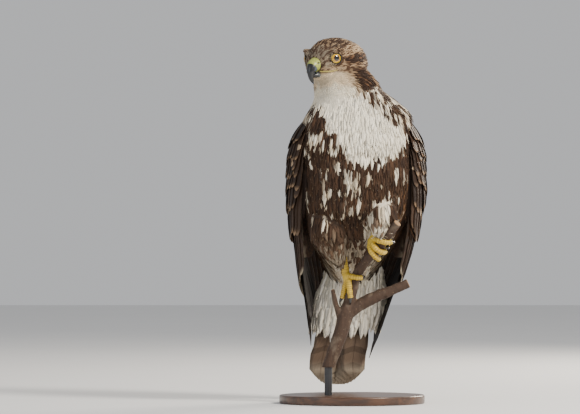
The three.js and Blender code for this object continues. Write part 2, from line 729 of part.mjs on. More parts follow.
const rooms = [wingRoom(-1), wingRoom(1)];
const belowNeck = flesh.trimByPlane(turned(NECK_NORMAL), -NECK_PLANE);
const trunk = belowNeck.trimByPlane(turned(RUMP_NORMAL), GAP - RUMP_PLANE);
add("torso", cut(trunk, tailRoom(), ...rooms), "plumage_light");
for (const [name, side] of Object.entries(SIDES)) add("wing_" + name, wing(side), "plumage_brown");
add("tail", cut(tail(), ...rooms), "plumage_light");

const perchRoom = wasm.Manifold.union(PERCH_LIMBS.map((l) => limb(l, GAP)));
for (const [name, leg] of Object.entries(LEGS)) {
  const feet = foot(leg);
  const thighCutters = [bodySolid(GAP), shank(leg, GAP), foot(leg, GAP), perchRoom, tailRoom(), ...rooms];
  add("thigh_" + name, cut(thigh(leg), ...thighCutters), "plumage_light");
  add("shank_" + name, cut(shank(leg), foot(leg, GAP)), "foot_skin");
  add("foot_" + name, feet, "foot_skin");
  for (const t of leg.toes) {
    add("talon_" + name + "_" + t.name, cut(talon(leg, t), foot(leg, GAP)), "talon_horn");
  }
}

const gripRoom = (leg) => [foot(leg, GAP), ...leg.toes.map((t) => talon(leg, t, GAP))];
const footCutters = Object.values(LEGS).flatMap(gripRoom);
add("perch", cut(perch(), ...footCutters), "bark");
add("stand_rod", rod(), "rod_steel");
add("stand_base", base(), "base_wood");

export default group;
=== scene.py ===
"""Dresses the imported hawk: skin, feathers, eyes, bill, feet, bark, stand, floor, lights and camera.

All is worked out in millimetres in the bird's own frame, with +Z up, -Y the way the breast faces and +X
to the bird's left. It is moved over the stand's base where it is meshed."""
import math

import bpy
import numpy as np
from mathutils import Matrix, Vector


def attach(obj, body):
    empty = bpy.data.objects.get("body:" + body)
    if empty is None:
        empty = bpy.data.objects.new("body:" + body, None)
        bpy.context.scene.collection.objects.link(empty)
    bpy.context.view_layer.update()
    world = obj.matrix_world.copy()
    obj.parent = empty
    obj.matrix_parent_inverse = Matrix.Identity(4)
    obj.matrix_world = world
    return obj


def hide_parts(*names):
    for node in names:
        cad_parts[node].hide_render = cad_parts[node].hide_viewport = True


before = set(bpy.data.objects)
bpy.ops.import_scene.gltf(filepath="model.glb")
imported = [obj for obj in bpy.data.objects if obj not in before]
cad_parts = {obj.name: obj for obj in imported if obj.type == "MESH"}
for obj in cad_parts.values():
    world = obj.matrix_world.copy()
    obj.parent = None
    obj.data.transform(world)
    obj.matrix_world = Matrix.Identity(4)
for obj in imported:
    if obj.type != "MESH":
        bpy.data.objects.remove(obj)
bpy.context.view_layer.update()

# Driving sizes and tables, as in the solids

BASE_CENTRE_Y = 24.0
HEAD = {"at": (-31.7, -9.0, 486.0), "yaw": 35.0, "pitch": 8.0}
EYE = {"f": 22.0, "l": 25.8, "u": 8.0, "radius": 10.5, "rim": 8.7, "out": 59.0, "deeper": 1.2}
TAIL = {
    "root_z": 226.0, "root_y": 79.0, "tip_z": 22.0, "tip_y": 126.0, "count": 12, "width": 37.0, "step": 0.95,
}
BODY_ROUNDNESS = 2.25
SIDES = (("left", 1), ("right", -1))
# height, middle x, half width, front y, back y
BODY = [
    (172, -2, 17, 62, 93), (190, 0, 36, 40, 97), (215, 2, 52, 6, 96), (250, 4, 71, -40, 93),
    (290, 6, 83, -68, 90), (330, 7, 87, -74, 85), (370, 6, 85, -72, 77), (400, 7, 79, -64, 69),
    (420, 7, 70, -56, 60), (435, 2, 58, -51, 53), (448, -6, 50, -48, 51), (462, -12, 46, -44, 51),
    (480, -20, 38, -36, 47),
]
# distance forward, half width, top, bottom
SKULL = [
    (-67, 7, 4, -14), (-60, 20, 11, -24), (-50, 29, 20, -30), (-38, 35, 27.5, -32), (-24, 37, 32.5, -32),
    (-8, 35.5, 35, -31), (8, 31, 34, -29), (22, 26, 29, -26), (32, 22, 22, -22.5), (37, 17, 15.5, -19),
    (40, 8, 8, -13),
]
# height, middle x, half width, middle y, half depth
WING_SHEET = [
    (60, -16, 46, 100, 34), (100, -10, 55, 88, 40), (146, -5, 66, 72, 48), (190, 0, 78, 54, 58),
    (230, 3, 87, 36, 68), (265, 4, 93, 22, 76), (302, 6, 97, 13, 81), (347, 6, 96, 8, 80),
    (375, 6, 91, 6, 74), (400, 6, 80, 5, 65), (418, 4, 66, 4, 55),
]
# height, front angle, back angle, thickness
WING_CORE = [
    (204, 84, 128, 3), (225, 72, 140, 6), (262, 60, 148, 9), (302, 53, 152, 12),
    (345, 50, 153, 13), (378, 53, 150, 12), (400, 60, 140, 9), (412, 74, 122, 4),
]
LEGS = {
    "right": {
        "thigh": [(-34, -14, 272), (-33, -20, 250), (-28, -17, 228), (-20, -11, 210), (-14, -8, 199)],
        "halves": [34, 31, 24, 15.5, 8.5], "shank": [(-13, -8, 201), (-9.5, -7, 187)],
        "grip": (4, -5, 178), "limb": (0.26, -0.22, 0.94), "radius": 7.2, "lean": (-0.8, -0.25, 0.3),
        "toes": [
            {"name": "1", "turn": (-30, -128), "slide": (1, -3), "radius": 4.2, "talon": -172, "drop": -3},
            {"name": "2", "turn": (20, 118), "slide": (4, 6), "radius": 4.1, "talon": 168, "drop": 3},
            {"name": "3", "turn": (32, 78), "slide": (-3, -25), "radius": 4.3, "talon": 92, "drop": -14},
            {"name": "4", "turn": (4, 6), "slide": (-5, -31), "radius": 4.0, "talon": 10, "drop": -13},
        ],
    },
    "left": {
        "thigh": [(36, -30, 286), (38, -41, 268), (37, -46, 254), (33, -46, 245)],
        "halves": [33, 27.5, 19, 8.5], "shank": [(32.5, -45.5, 247), (31, -45, 238)],
        "grip": (37, -41, 225), "limb": (0.565, -0.4, 0.72), "radius": 6.8, "lean": (-0.6, -0.15, 0.75),
        "toes": [
            {"name": "1", "turn": (-30, -150), "slide": (2, 6), "radius": 4.1, "talon": -212},
            {"name": "2", "turn": (20, 165), "slide": (-6, -15), "radius": 4.1, "talon": 225},
            {"name": "3", "turn": (20, 185), "slide": (0, -2), "radius": 4.3, "talon": 245},
            {"name": "4", "turn": (20, 150), "slide": (7, 19), "radius": 3.9, "talon": 212},
        ],
    },
}


def srgb(*rgb):
    """A colour given as 0 to 255 screen values, as linear light."""
    c = np.array(rgb, float) / 255.0
    return np.where(c <= 0.04045, c / 12.92, ((c + 0.055) / 1.055) ** 2.4)


CREAM = srgb(236, 226, 204)
WHITE = srgb(247, 242, 230)
BUFF = srgb(206, 182, 148)
RUFOUS = srgb(142, 100, 66)
BROWN = srgb(84, 60, 43)
DARK = srgb(50, 34, 25)
BLACKISH = srgb(34, 26, 22)
GREY_BUFF = srgb(176, 160, 138)
TAIL_GREY = srgb(122, 104, 88)

# Arithmetic

def curve(rows):
    """A smooth curve through rows of (key, values...), as a function of an array of keys."""
    data = np.array(rows, float)
    keys, values = data[:, 0], data[:, 1:]
    h = np.diff(keys)
    d = np.diff(values, axis=0) / h[:, None]
    m = np.zeros_like(values)
    m[0], m[-1] = d[0], d[-1]
    same = d[:-1] * d[1:] > 0
    m[1:-1] = np.where(same, 2 * d[:-1] * d[1:] / np.where(same, d[:-1] + d[1:], 1), 0)

    def at(key):
        k = np.clip(np.asarray(key, float), keys[0], keys[-1])
        i = np.clip(np.searchsorted(keys, k, side="right") - 1, 0, len(h) - 1)
        t = ((k - keys[i]) / h[i])[..., None]
        hi = h[i][..., None]
        return (values[i] * (1 + 2 * t) * (1 - t) ** 2 + values[i + 1] * t * t * (3 - 2 * t)
                + m[i] * hi * t * (1 - t) ** 2 - m[i + 1] * hi * t * t * (1 - t))
    return at


def columns(table_at, key):
    """The values of a table's curve at the keys, one array for each column."""
    return np.moveaxis(table_at(key), -1, 0)


body_at, skull_at, sheet_at, core_at = curve(BODY), curve(SKULL), curve(WING_SHEET), curve(WING_CORE)


def unit(v):
    v = np.asarray(v, float)
    return v / np.maximum(np.linalg.norm(v, axis=-1, keepdims=True), 1e-9)


def smoothstep(low, high, x):
    t = np.clip((np.asarray(x, float) - low) / (high - low), 0, 1)
    return t * t * (3 - 2 * t)


def mix(a, b, t):
    return a + (b - a) * t


def tint(a, b, share):
    """Colours between a and b, one for each share."""
    return mix(a, b, np.asarray(share)[:, None])


def full_turn(count):
    return np.linspace(0, 2 * math.pi, count, endpoint=False)


def value_noise(p, size, seed):
    """Smooth noise from 0 to 1 at points p, with lumps of about the given size."""
    q = np.asarray(p, float) / size + 100.0 + seed * 7.31
    base = np.floor(q).astype(np.int64)
    f = q - base
    f = f * f * (3 - 2 * f)
    total = np.zeros(len(q))
    for corner in np.ndindex(2, 2, 2):
        c = base + corner
        n = (c[:, 0] * 73856093 ^ c[:, 1] * 19349663 ^ c[:, 2] * 83492791 ^ seed * 2654435761) & 0xFFFFFF
        n = (n * 1103515245 + 12345) & 0xFFFFFF
        total += np.prod(np.where(corner, f, 1 - f), axis=1) * (n / 0xFFFFFF)
    return total


def ranked(noise):
    """Noise spread evenly from 0 to 1, so that a share of it can be asked for."""
    out = np.empty(len(noise))
    out[np.argsort(noise)] = np.linspace(0, 1, len(noise))
    return out


# Surfaces, as in the solids

def body_point(angle, z, grow=0.0):
    x, half, front, back = columns(body_at, z)
    s, c = np.sin(angle), np.cos(angle)
    power = 2 / BODY_ROUNDNESS
    return np.stack([
        x + (half + grow) * np.sign(s) * np.abs(s) ** power,
        (front + back) / 2 - ((back - front) / 2 + grow) * np.sign(c) * np.abs(c) ** power,
        z + 0 * angle], -1)


def wing_point(side, angle, z, w=0.0):
    """A point w outside the sheet that a folded wing lies on."""
    x, half, y, depth = columns(sheet_at, z)
    a = np.radians(angle)
    n = unit(np.stack([side * np.sin(a) / half, -np.cos(a) / depth, 0 * a], -1))
    p = np.stack([x + side * half * np.sin(a), y - depth * np.cos(a), z + 0 * a], -1)
    return p + n * np.asarray(w)[..., None]


def tail_point(s, t, w):
    """A point of the tail: s from root to tip, t across it and w above it."""
    z = mix(TAIL["root_z"], TAIL["tip_z"], s)
    x = sheet_at(z)[..., 0]
    slope = math.atan2(TAIL["tip_y"] - TAIL["root_y"], TAIL["root_z"] - TAIL["tip_z"])
    y = mix(TAIL["root_y"], TAIL["tip_y"], s) - t * t / 900
    return np.stack([x - 6 * s * s + t, y + (w + 3) * math.cos(slope), z + (w + 3) * math.sin(slope)], -1)


yaw, pitch = math.radians(HEAD["yaw"]), math.radians(HEAD["pitch"])
FORWARD = np.array([-math.sin(yaw) * math.cos(pitch), -math.cos(yaw) * math.cos(pitch), -math.sin(pitch)])
LEFT = np.array([math.cos(yaw), -math.sin(yaw), 0.0])
HEAD_AXES = np.array([FORWARD, LEFT, np.cross(FORWARD, LEFT)])
HEAD_AT = np.array(HEAD["at"])


def on_head(p):
    """Points given forward, left and up in the head, in the bird's frame."""
    return HEAD_AT + np.asarray(p, float) @ HEAD_AXES


def head_local(p):
    return (np.asarray(p, float) - HEAD_AT) @ HEAD_AXES.T


def eye_out(side):
    a = math.radians(EYE["out"])
    return unit([math.cos(a), side * math.sin(a), 0.06])


def eye_rim(side):
    """The middle of the eye's opening in the head."""
    return np.array([EYE["f"], side * EYE["l"], EYE["u"]])


def eye_axes(side):
    """The way an eye looks, and across and up in its plane, in the bird's frame."""
    out = eye_out(side) @ HEAD_AXES
    across = unit(np.cross(out, (0, 0, 1)))
    up = np.cross(across, out)
    return out, across, up if up[2] > 0 else -up


# Meshing

def to_row(p):
    """Millimetres in the bird's frame as metres in the row's."""
    q = np.array(p, float).reshape(-1, 3)
    q[:, 1] -= BASE_CENTRE_Y
    return q / 1000.0


def from_row(p):
    q = p * 1000.0
    q[:, 1] += BASE_CENTRE_Y
    return q


def read(items, field, kind=np.float32, width=3):
    out = np.empty(len(items) * width, kind)
    items.foreach_get(field, out)
    return out.reshape(-1, width)


def mesh_object(name, points, faces):
    """A smooth mesh object from points in millimetres and faces of one size."""
    faces = np.asarray(faces, np.int32)
    me = bpy.data.meshes.new(name)
    me.vertices.add(len(points))
    me.vertices.foreach_set("co", to_row(points).astype(np.float32).ravel())
    n, k = faces.shape
    me.loops.add(n * k)
    me.loops.foreach_set("vertex_index", faces.ravel())
    me.polygons.add(n)
    me.polygons.foreach_set("loop_start", np.arange(0, n * k, k, dtype=np.int32))
    me.update(calc_edges=True)
    me.validate()
    me.polygons.foreach_set("use_smooth", np.full(len(me.polygons), True))
    return linked(name, me)


def linked(name, data):
    ob = bpy.data.objects.new(name, data)
    bpy.context.scene.collection.objects.link(ob)
    return ob


def attribute(ob, name, kind, values):
    a = ob.data.attributes.new(name, kind, "POINT")
    field = {"FLOAT": "value", "FLOAT_VECTOR": "vector", "FLOAT_COLOR": "color"}[kind]
    a.data.foreach_set(field, np.asarray(values, np.float32).ravel())


def rgba(c):
    return np.concatenate([c, np.ones((len(c), 1))], 1)


def uv_map(ob, name, per_vertex):
    layer = ob.data.uv_layers.new(name=name)
    index = read(ob.data.loops, "vertex_index", np.int32, 1)[:, 0]
    layer.data.foreach_set("uv", np.asarray(per_vertex, np.float32)[index].ravel())


def tube(rings):
    """Points and faces of a closed tube through rings of shape (rings, sides, 3)."""
    r, s, _ = rings.shape
    points = np.concatenate([rings.reshape(-1, 3), rings[:1].mean(1), rings[-1:].mean(1)])
    i, j = np.meshgrid(np.arange(r - 1), np.arange(s), indexing="ij")
    k = (j + 1) % s
    quads = np.stack([i * s + j, i * s + k, (i + 1) * s + k, (i + 1) * s + j], -1).reshape(-1, 4)
    j, k, last = np.arange(s), (np.arange(s) + 1) % s, (r - 1) * s
    low = np.stack([np.full(s, r * s), k, j], -1)
    high = np.stack([np.full(s, r * s + 1), last + j, last + k], -1)
    return points, np.concatenate([quads[:, [0, 1, 2]], quads[:, [0, 2, 3]], low, high])


def joined(rings):
    """Points and faces of several closed tubes as one."""
    parts = [tube(ring) for ring in rings]
    starts = np.cumsum([0] + [len(points) for points, _ in parts])
    faces = [part + start for (_, part), start in zip(parts, starts)]
    return np.concatenate([points for points, _ in parts]), np.concatenate(faces)


def path_rings(path, halves, sides, across, steps):
    """Rings round a smooth path, and how far along it they are. halves gives the half width and half height
    at each point of the path."""
    path = np.array(path, float)
    length = np.concatenate([[0], np.cumsum(np.linalg.norm(np.diff(path, axis=0), axis=1))])
    along = np.linspace(0, length[-1], steps)
    v = curve(np.column_stack([length, path, np.array(halves, float)]))(along)
    centre, w, h = v[:, :3], v[:, 3], v[:, 4]
    tangent = unit(np.gradient(centre, axis=0))
    side = unit(np.asarray(across, float) - tangent * (tangent @ np.asarray(across, float))[:, None])
    up = np.cross(tangent, side)
    turn = full_turn(sides)
    ring = (centre[:, None] + side[:, None] * (w[:, None] * np.cos(turn))[..., None]
            + up[:, None] * (h[:, None] * np.sin(turn))[..., None])
    return ring, along


def remeshed(ob, voxel, passes):
    """Joins an object's overlapping pieces into one skin, smoothed that many times."""
    remesh = ob.modifiers.new("remesh", "REMESH")
    remesh.mode = "VOXEL"
    remesh.voxel_size = voxel / 1000
    ob.modifiers.new("smooth", "SMOOTH").iterations = passes
    done = bpy.data.meshes.new_from_object(ob.evaluated_get(bpy.context.evaluated_depsgraph_get()))
    ob.modifiers.clear()
    ob.data = done
    done.polygons.foreach_set("use_smooth", np.full(len(done.polygons), True))


def piece(ob, material, replaced=()):
    """Gives a piece its material and its body, and hides the nodes that it stands for."""
    ob.data.materials.append(material)
    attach(ob, "root")
    if replaced:
        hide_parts(*replaced)


# Materials

class Value:
    """A shader's output that takes part in sums, so that a material reads like arithmetic."""

    def __init__(self, shader, socket):
        self.shader, self.socket = shader, socket

    def maths(self, operation, *others):
        return self.shader.node("ShaderNodeMath", dict(enumerate((self, *others))), operation=operation)

    def __add__(self, other):
        return self.maths("ADD", other)

    def __sub__(self, other):
        return self.maths("SUBTRACT", other)

    def __mul__(self, other):
        return self.maths("MULTIPLY", other)

    def __truediv__(self, other):
        return self.maths("DIVIDE", other)

    def __abs__(self):
        return self.maths("ABSOLUTE")


class Shader:
    """A material, with a short way to write its nodes."""

    def __init__(self, name, roughness, constants=None):
        self.material = bpy.data.materials.new(name)
        self.material.use_nodes = True
        self.tree = self.material.node_tree
        self.shader = self.tree.nodes["Principled BSDF"]
        for key, value in {"Roughness": roughness, **(constants or {})}.items():
            self.shader.inputs[key].default_value = value

    def link(self, value, socket):
        if isinstance(value, Value):
            self.tree.links.new(value.socket, socket)
        else:
            socket.default_value = (*value, 1.0) if socket.type == "RGBA" else value

    def node(self, kind, inputs=None, output=0, **settings):
        n = self.tree.nodes.new(kind)
        for key, value in settings.items():
            setattr(n, key, value)
        for key, value in (inputs or {}).items():
            self.link(value, n.inputs[key])
        return Value(self, n.outputs[output])

    def attr(self, name, output="Color"):
        return self.node("ShaderNodeAttribute", output=output, attribute_name=name)

    def here(self, *scale):
        """Places on the piece in metres, times a scale along x, y and z."""
        place = self.node("ShaderNodeTexCoord", output="Object")
        return self.scaled(place, *scale) if scale else place

    def scaled(self, vector, *scale):
        return self.node("ShaderNodeMapping", {"Vector": vector, "Scale": scale})

    def split(self, vector):
        n = self.node("ShaderNodeSeparateXYZ", {"Vector": vector}).socket.node
        return [Value(self, socket) for socket in n.outputs]

    def join(self, x, y, z):
        return self.node("ShaderNodeCombineXYZ", {"X": x, "Y": y, "Z": z})

    def noise(self, vector, detail=4.0, rough=0.55, scale=1.0, output=0):
        inputs = {"Vector": vector, "Scale": scale, "Detail": detail, "Roughness": rough}
        return self.node("ShaderNodeTexNoise", inputs, output)

    def step(self, value, low, high):
        """0 where the value is low, 1 where it is high, and smooth between them."""
        inputs = {"Value": value, "From Min": low, "From Max": high}
        return self.node("ShaderNodeMapRange", inputs, interpolation_type="SMOOTHSTEP")

    def blend(self, factor, a, b, kind="MIX"):
        return self.node("ShaderNodeMix", {0: factor, 6: a, 7: b}, 2, data_type="RGBA", blend_type=kind)

    def shaded(self, colour, shade):
        """A colour times a grey."""
        return self.blend(1.0, colour, self.join(shade, shade, shade), "MULTIPLY")

    def finish(self, colour, height=None, strength=0.3, distance=0.001, roughness=None):
        """Links the colour, and the bump's height and the roughness where they are given."""
        self.link(colour, self.shader.inputs["Base Color"])
        if height is not None:
            bump = self.node("ShaderNodeBump", {"Height": height, "Strength": strength, "Distance": distance})
            self.link(bump, self.shader.inputs["Normal"])
        if roughness is not None:
            self.link(roughness, self.shader.inputs["Roughness"])
        return self.material


def varnish(weight, roughness):
    return {"Coat Weight": weight, "Coat Roughness": roughness}


def grained_material(name, roughness, scale, low, high, strength, distance, constants=None):
    """Two screen colours mixed by a fine grain, which is the bump too."""
    m = Shader(name, roughness, constants)
    grain = m.noise(m.here(*scale))
    return m.finish(m.blend(grain, srgb(*low), srgb(*high)), grain, strength, distance)


def plumage_material(name, barbs, softness, roughness):
    """Feathers: each vane carries its ground, its mark and the mark's form, drawn along its own length."""
    m = Shader(name, roughness, {"Specular IOR Level": 0.22})
    u, v, _ = m.split(m.node("ShaderNodeUVMap", uv_map="vane"))
    mark_half, mark_at, mark_long = m.split(m.attr("form", "Vector"))
    offset, bars, edge = m.split(m.attr("own", "Vector"))
    across = abs(u - 0.5)
    barb = m.noise(m.join((v - across * 0.55) * barbs, u * 3.0, offset), 3.0, 0.7)
    blot = m.noise(m.join(u * 4.0, v * 5.0, offset), 3.0)
    wobble = (blot - 0.5) * 0.7 + (barb - 0.5) * 0.55
    du, dv = across / mark_half, (v - mark_at) / mark_long
    far = (du * du + dv * dv).maths("SQRT")
    mark = m.step(far + wobble, 1.0 + softness, 1.0 - softness)
    colour = m.blend(mark, m.attr("ground"), m.attr("mark"))
    wave = ((v - across * 0.06 + wobble * 0.03) * (abs(bars) * (2 * math.pi))).maths("SINE")
    band = m.step(wave, 0.35, 0.6) * m.step(abs(bars), 0.1, 0.5)
    colour = m.blend(band * 0.4, colour, (0.012, 0.008, 0.006))
    rim = m.step((across * 1.84).maths("MAXIMUM", v), 0.86, 0.99) * edge
    colour = m.blend(rim, colour, m.attr("fringe"))
    shaft = m.step(across, 0.03, 0.012)
    colour = m.blend(shaft * 0.45, colour, (0.05, 0.03, 0.02))
    return m.finish(m.shaded(colour, barb * 0.7 + 0.62), barb + shaft * 1.5, 0.35, 0.0004)


PLUMAGE = plumage_material("plumage", 26.0, 0.16, 0.78)
FLIGHT = plumage_material("flight_plumage", 70.0, 0.12, 0.6)


def skin_material():
    m = Shader("skin", 0.9)
    grain = m.noise(m.here(900, 900, 300))
    return m.finish(m.shaded(m.attr("ground"), grain * 0.8 + 0.4), grain, 0.4, 0.001)


# Vanes

BAKE_PATCH = 0.003
MOST_FACES = 190000
PLATE_THICK = 0.35
HAIR_THICK = 0.24
VANE_FORM = curve([(0, 0.18), (0.12, 0.55), (0.35, 0.9), (0.6, 1), (0.8, 0.9), (0.93, 0.55), (1, 0.12)])
SHARP_FORM = curve([(0, 0.2), (0.25, 0.75), (0.5, 1), (0.75, 0.72), (0.92, 0.32), (1, 0.06)])
LONG_FORM = curve([(0, 0.3), (0.2, 0.75), (0.5, 0.96), (0.78, 1), (0.91, 0.8), (0.97, 0.5), (1, 0.16)])
TAIL_FORM = curve([(0, 0.3), (0.2, 0.75), (0.5, 0.96), (0.84, 1), (0.94, 0.94), (0.98, 0.74), (1, 0.36)])
NO_MARK = (0.001, 0.5, 0.001)


class Coat:
    """Vanes gathered into one mesh, each with its colours, its pattern's frame and its place in the bake."""

    def __init__(self, name, material, stations, across):
        self.name, self.material = name, material
        self.m, self.c = stations, across
        self.blocks = []

    def add(self, points, paint, bake):
        """points (n, stations, ring, 3); paint a dict of per-vane arrays; bake (n, 2) from 0 to 1."""
        self.blocks.append((points, paint, bake))

    def ring(self):
        """Across position and upper or lower side of each point round a vane's edge."""
        c = self.c
        across = np.concatenate([np.linspace(-1, 1, c), np.linspace(1, -1, c)[1:-1]])
        upper = np.concatenate([[0], np.ones(c - 2), [0], -np.ones(c - 2)])
        return across, upper

    def vane_faces(self):
        m, q = self.m, 2 * self.c - 2
        i, j = np.meshgrid(np.arange(m - 1), np.arange(q), indexing="ij")
        k = (j + 1) % q
        side = np.stack([i * q + j, i * q + k, (i + 1) * q + k, (i + 1) * q + j], -1).reshape(-1, 4)
        cap = np.array([(a, a + 1, q - a - 2, q - a - 1) for a in range(q // 2 - 1)])
        return np.concatenate([side, cap[:, ::-1], cap + (m - 1) * q])

    def build(self):
        each = self.m * (2 * self.c - 2)
        points = np.concatenate([block[0] for block in self.blocks]).reshape(-1, 3)
        n = len(points) // each
        faces = self.vane_faces()[None] + (np.arange(n) * each)[:, None, None]
        ob = mesh_object(self.name, points, faces.reshape(-1, 4))

        def per_point(values):
            return np.repeat(values, each, axis=0)

        for key in self.blocks[0][1]:
            values = np.concatenate([np.asarray(block[1][key], float) for block in self.blocks])
            if key in ("form", "own"):
                attribute(ob, key, "FLOAT_VECTOR", per_point(values))
            else:
                attribute(ob, key, "FLOAT_COLOR", per_point(rgba(values)))
        across, _ = self.ring()
        u = np.tile(across * 0.5 + 0.5, self.m)
        v = np.repeat(np.linspace(0, 1, self.m), len(across))
        vane = np.tile(np.stack([u, v], -1), (n, 1))
        uv_map(ob, "vane", vane)
        root = np.concatenate([block[2] for block in self.blocks])
        uv_map(ob, "OFBake", per_point(np.clip(root, 0.004, 0.996)) + (vane - 0.5) * BAKE_PATCH)
        piece(ob, self.material)


def offsets(n, rng):
    """Where each of n vanes reads the noise of its material."""
    return rng.uniform(0, 50, n)


def vane_paint(offset, ground, mark=None, fringe=None, form=NO_MARK, bars=0.0, edge=0.0):
    """Paint of as many vanes as there are offsets, which shift each one's noise. form is the mark's half
    width, its place along the vane and its half length, bars how many dark bars there are, and edge how
    strong the fringe is."""
    n = len(offset)
    return {
        "ground": np.broadcast_to(ground, (n, 3)),
        "mark": np.broadcast_to(ground if mark is None else mark, (n, 3)),
        "fringe": np.broadcast_to(ground if fringe is None else fringe, (n, 3)),
        "form": np.broadcast_to(form, (n, 3)),
        "own": np.stack([offset, np.broadcast_to(bars, n), np.broadcast_to(edge, n)], -1),
    }


def small_vanes(coat, roots, rng, sink, ragged, camber):
    """Small pointed vanes with their roots on the skin, laid along the coat and bent with the body."""
    p, normal, along = roots["p"], unit(roots["normal"]), roots["along"]
    n = len(p)
    across, upper = coat.ring()
    s = np.linspace(0, 1, coat.m)
    along = unit(along - normal * np.sum(along * normal, -1, keepdims=True))
    side = np.cross(normal, along)
    side = unit(side + normal * rng.normal(0, 0.1, n)[:, None])
    half = SHARP_FORM(s)[:, 0] * roots["width"][:, None] / 2 * (1 + ragged * rng.normal(0, 1, (n, coat.m)))
    half = np.maximum(half, 0.02)[..., None]
    run = s * roots["length"][:, None]
    rise = run * np.sin(roots["lift"])[:, None] - run ** 2 / (2 * roots["bend"][:, None]) - sink
    drift = rng.normal(0, 0.07, n)[:, None] * run * s
    centre = (p[:, None] + along[:, None] * run[..., None] + normal[:, None] * rise[..., None]
              + side[:, None] * drift[..., None])
    droop = -camber * np.abs(across) ** 2 * half + upper * HAIR_THICK / 2
    return (centre[:, :, None] + side[:, None, None] * (half * across)[..., None]
            + normal[:, None, None] * droop[..., None])


def small_coat(name, stations, roots, paint, rng, sink, ragged, camber):
    """One region's small vanes, in as many pieces as keep each below the limit of faces."""
    faces = 8 * (stations - 1) + 4
    pieces = math.ceil(len(roots["p"]) * faces / MOST_FACES)
    order = np.argsort(round_body(roots["p"]))
    for k, pick in enumerate(np.array_split(order, pieces)):
        coat = Coat(f"{name}_{k + 1}", PLUMAGE, stations, 3)
        part = {key: value[pick] for key, value in roots.items()}
        points = small_vanes(coat, part, rng, sink, ragged, camber)
        coat.add(points, {key: value[pick] for key, value in paint.items()}, bake_place(part["p"]))
        coat.build()


def plate(coat, at, half, lift):
    """A large vane from at(s, t, w): s along it, t across it in millimetres, and w above its sheet."""
    across, upper = coat.ring()
    s = np.linspace(0, 1, coat.m)
    t = half(s)[:, None] * across
    edge = 1 - np.abs(across) ** 4
    shaft = 0.5 * np.exp(-(across / 0.12) ** 2) * (upper > 0)
    w = lift(s, t) + upper * PLATE_THICK * edge / 2 + shaft * (1 - s[:, None])
    return at(np.broadcast_to(s[:, None], t.shape), t, w)[None]


def notched(width, form, rng):
    """Half width along a vane, with a few splits between its barbs."""
    nicks = 64
    nick = 1 + 0.05 * rng.normal(0, 1, nicks)

    def half(s):
        return form(s)[:, 0] * width / 2 * np.interp(s, np.linspace(0, 1, nicks), nick)
    return half


# The skin: body, head, thighs and shoulders in one, a little inside the solids

SKIN_VOXEL = 2.1
BROW = [(37, 12, 12), (31, 19, 16), (25, 23.6, 18.6), (17, 27.2, 19.3), (8, 29, 18), (1, 29.5, 14.5)]
BROW_HALVES = [(0.8, 0.6), (2.4, 1.8), (4.4, 2.8), (5, 3), (3.6, 2.6), (1, 1)]
SKULL_INSET = 1.6
# How square the skull is across and up, where 1 is round
SKULL_ACROSS, SKULL_UP = 0.9, 0.92


def skull_rings():
    ends = SKULL[0][0] + SKULL_INSET, SKULL[-1][0] - SKULL_INSET
    f = mix(*ends, 0.5 - 0.5 * np.cos(np.linspace(0, math.pi, 26)))
    half, top, bottom = columns(skull_at, f)
    turn = full_turn(40)
    c, h = np.cos(turn), np.sin(turn)
    shrink = np.clip(1 - SKULL_INSET / np.maximum(half, 1), 0.2, 2)
    middle, reach = (top + bottom) / 2, (top - bottom) / 2 - SKULL_INSET
    y = (half * shrink)[:, None] * np.sign(c) * np.abs(c) ** SKULL_ACROSS
    z = middle[:, None] + reach[:, None] * np.sign(h) * np.abs(h) ** SKULL_UP
    return on_head(np.stack([np.broadcast_to(f[:, None], y.shape), y, z], -1))


def brow_rings(side):
    inset = 0.4
    path = [(f, side * l, u) for f, l, u in BROW]
    halves = [(w - inset, h - inset) for w, h in BROW_HALVES]
    return on_head(path_rings(path, halves, 12, (0, side, 0.2), 16)[0])


def core_rings(side):
    """The flesh of a folded wing, under its feathers."""
    z = np.linspace(WING_CORE[0][0] + 2, WING_CORE[-1][0] - 2, 24)
    front, back, thick = columns(core_at, z)
    arc = 14
    share = np.concatenate([np.linspace(0, 1, arc), np.linspace(1, 0, arc)])
    outer = np.arange(2 * arc) < arc
    edge = 0.3 + 0.7 * np.sqrt(np.clip(1 - (2 * share - 1) ** 2, 0, 1))
    angle = mix(front[:, None], back[:, None], share)
    inner_w = -5.2 - thick[:, None] * edge
    outer_w = -2.7 - thick[:, None] * (1 - edge) * 0.3
    return wing_point(side, angle, z[:, None], np.where(outer, outer_w, inner_w))


def thigh_rings(leg):
    inset = 3.5
    halves = [(h - inset, h - inset) for h in leg["halves"]]
    return path_rings(leg["thigh"], halves, 24, (1, 0, 0), 20)[0]


def make_skin():
    angle, z = np.meshgrid(full_turn(56), np.linspace(BODY[0][0] + 3, BODY[-1][0], 60))
    rings = [body_point(angle, z, -2.4), skull_rings()]
    for side in (-1, 1):
        rings += [brow_rings(side), core_rings(side)]
    rings += [thigh_rings(leg) for leg in LEGS.values()]
    ob = mesh_object("skin", *joined(rings))
    remeshed(ob, SKIN_VOXEL, 6)
    return ob


skin = make_skin()
skin.data.calc_loop_triangles()
SKIN_CO = from_row(read(skin.data.vertices, "co").astype(float))
SKIN_NO = read(skin.data.vertices, "normal").astype(float)
SKIN_TRI = read(skin.data.loop_triangles, "vertices", np.int32)
NEAR_CELLS = [(x, y, z) for x in (-1, 0, 1) for y in (-1, 0, 1) for z in (-1, 0, 1)]


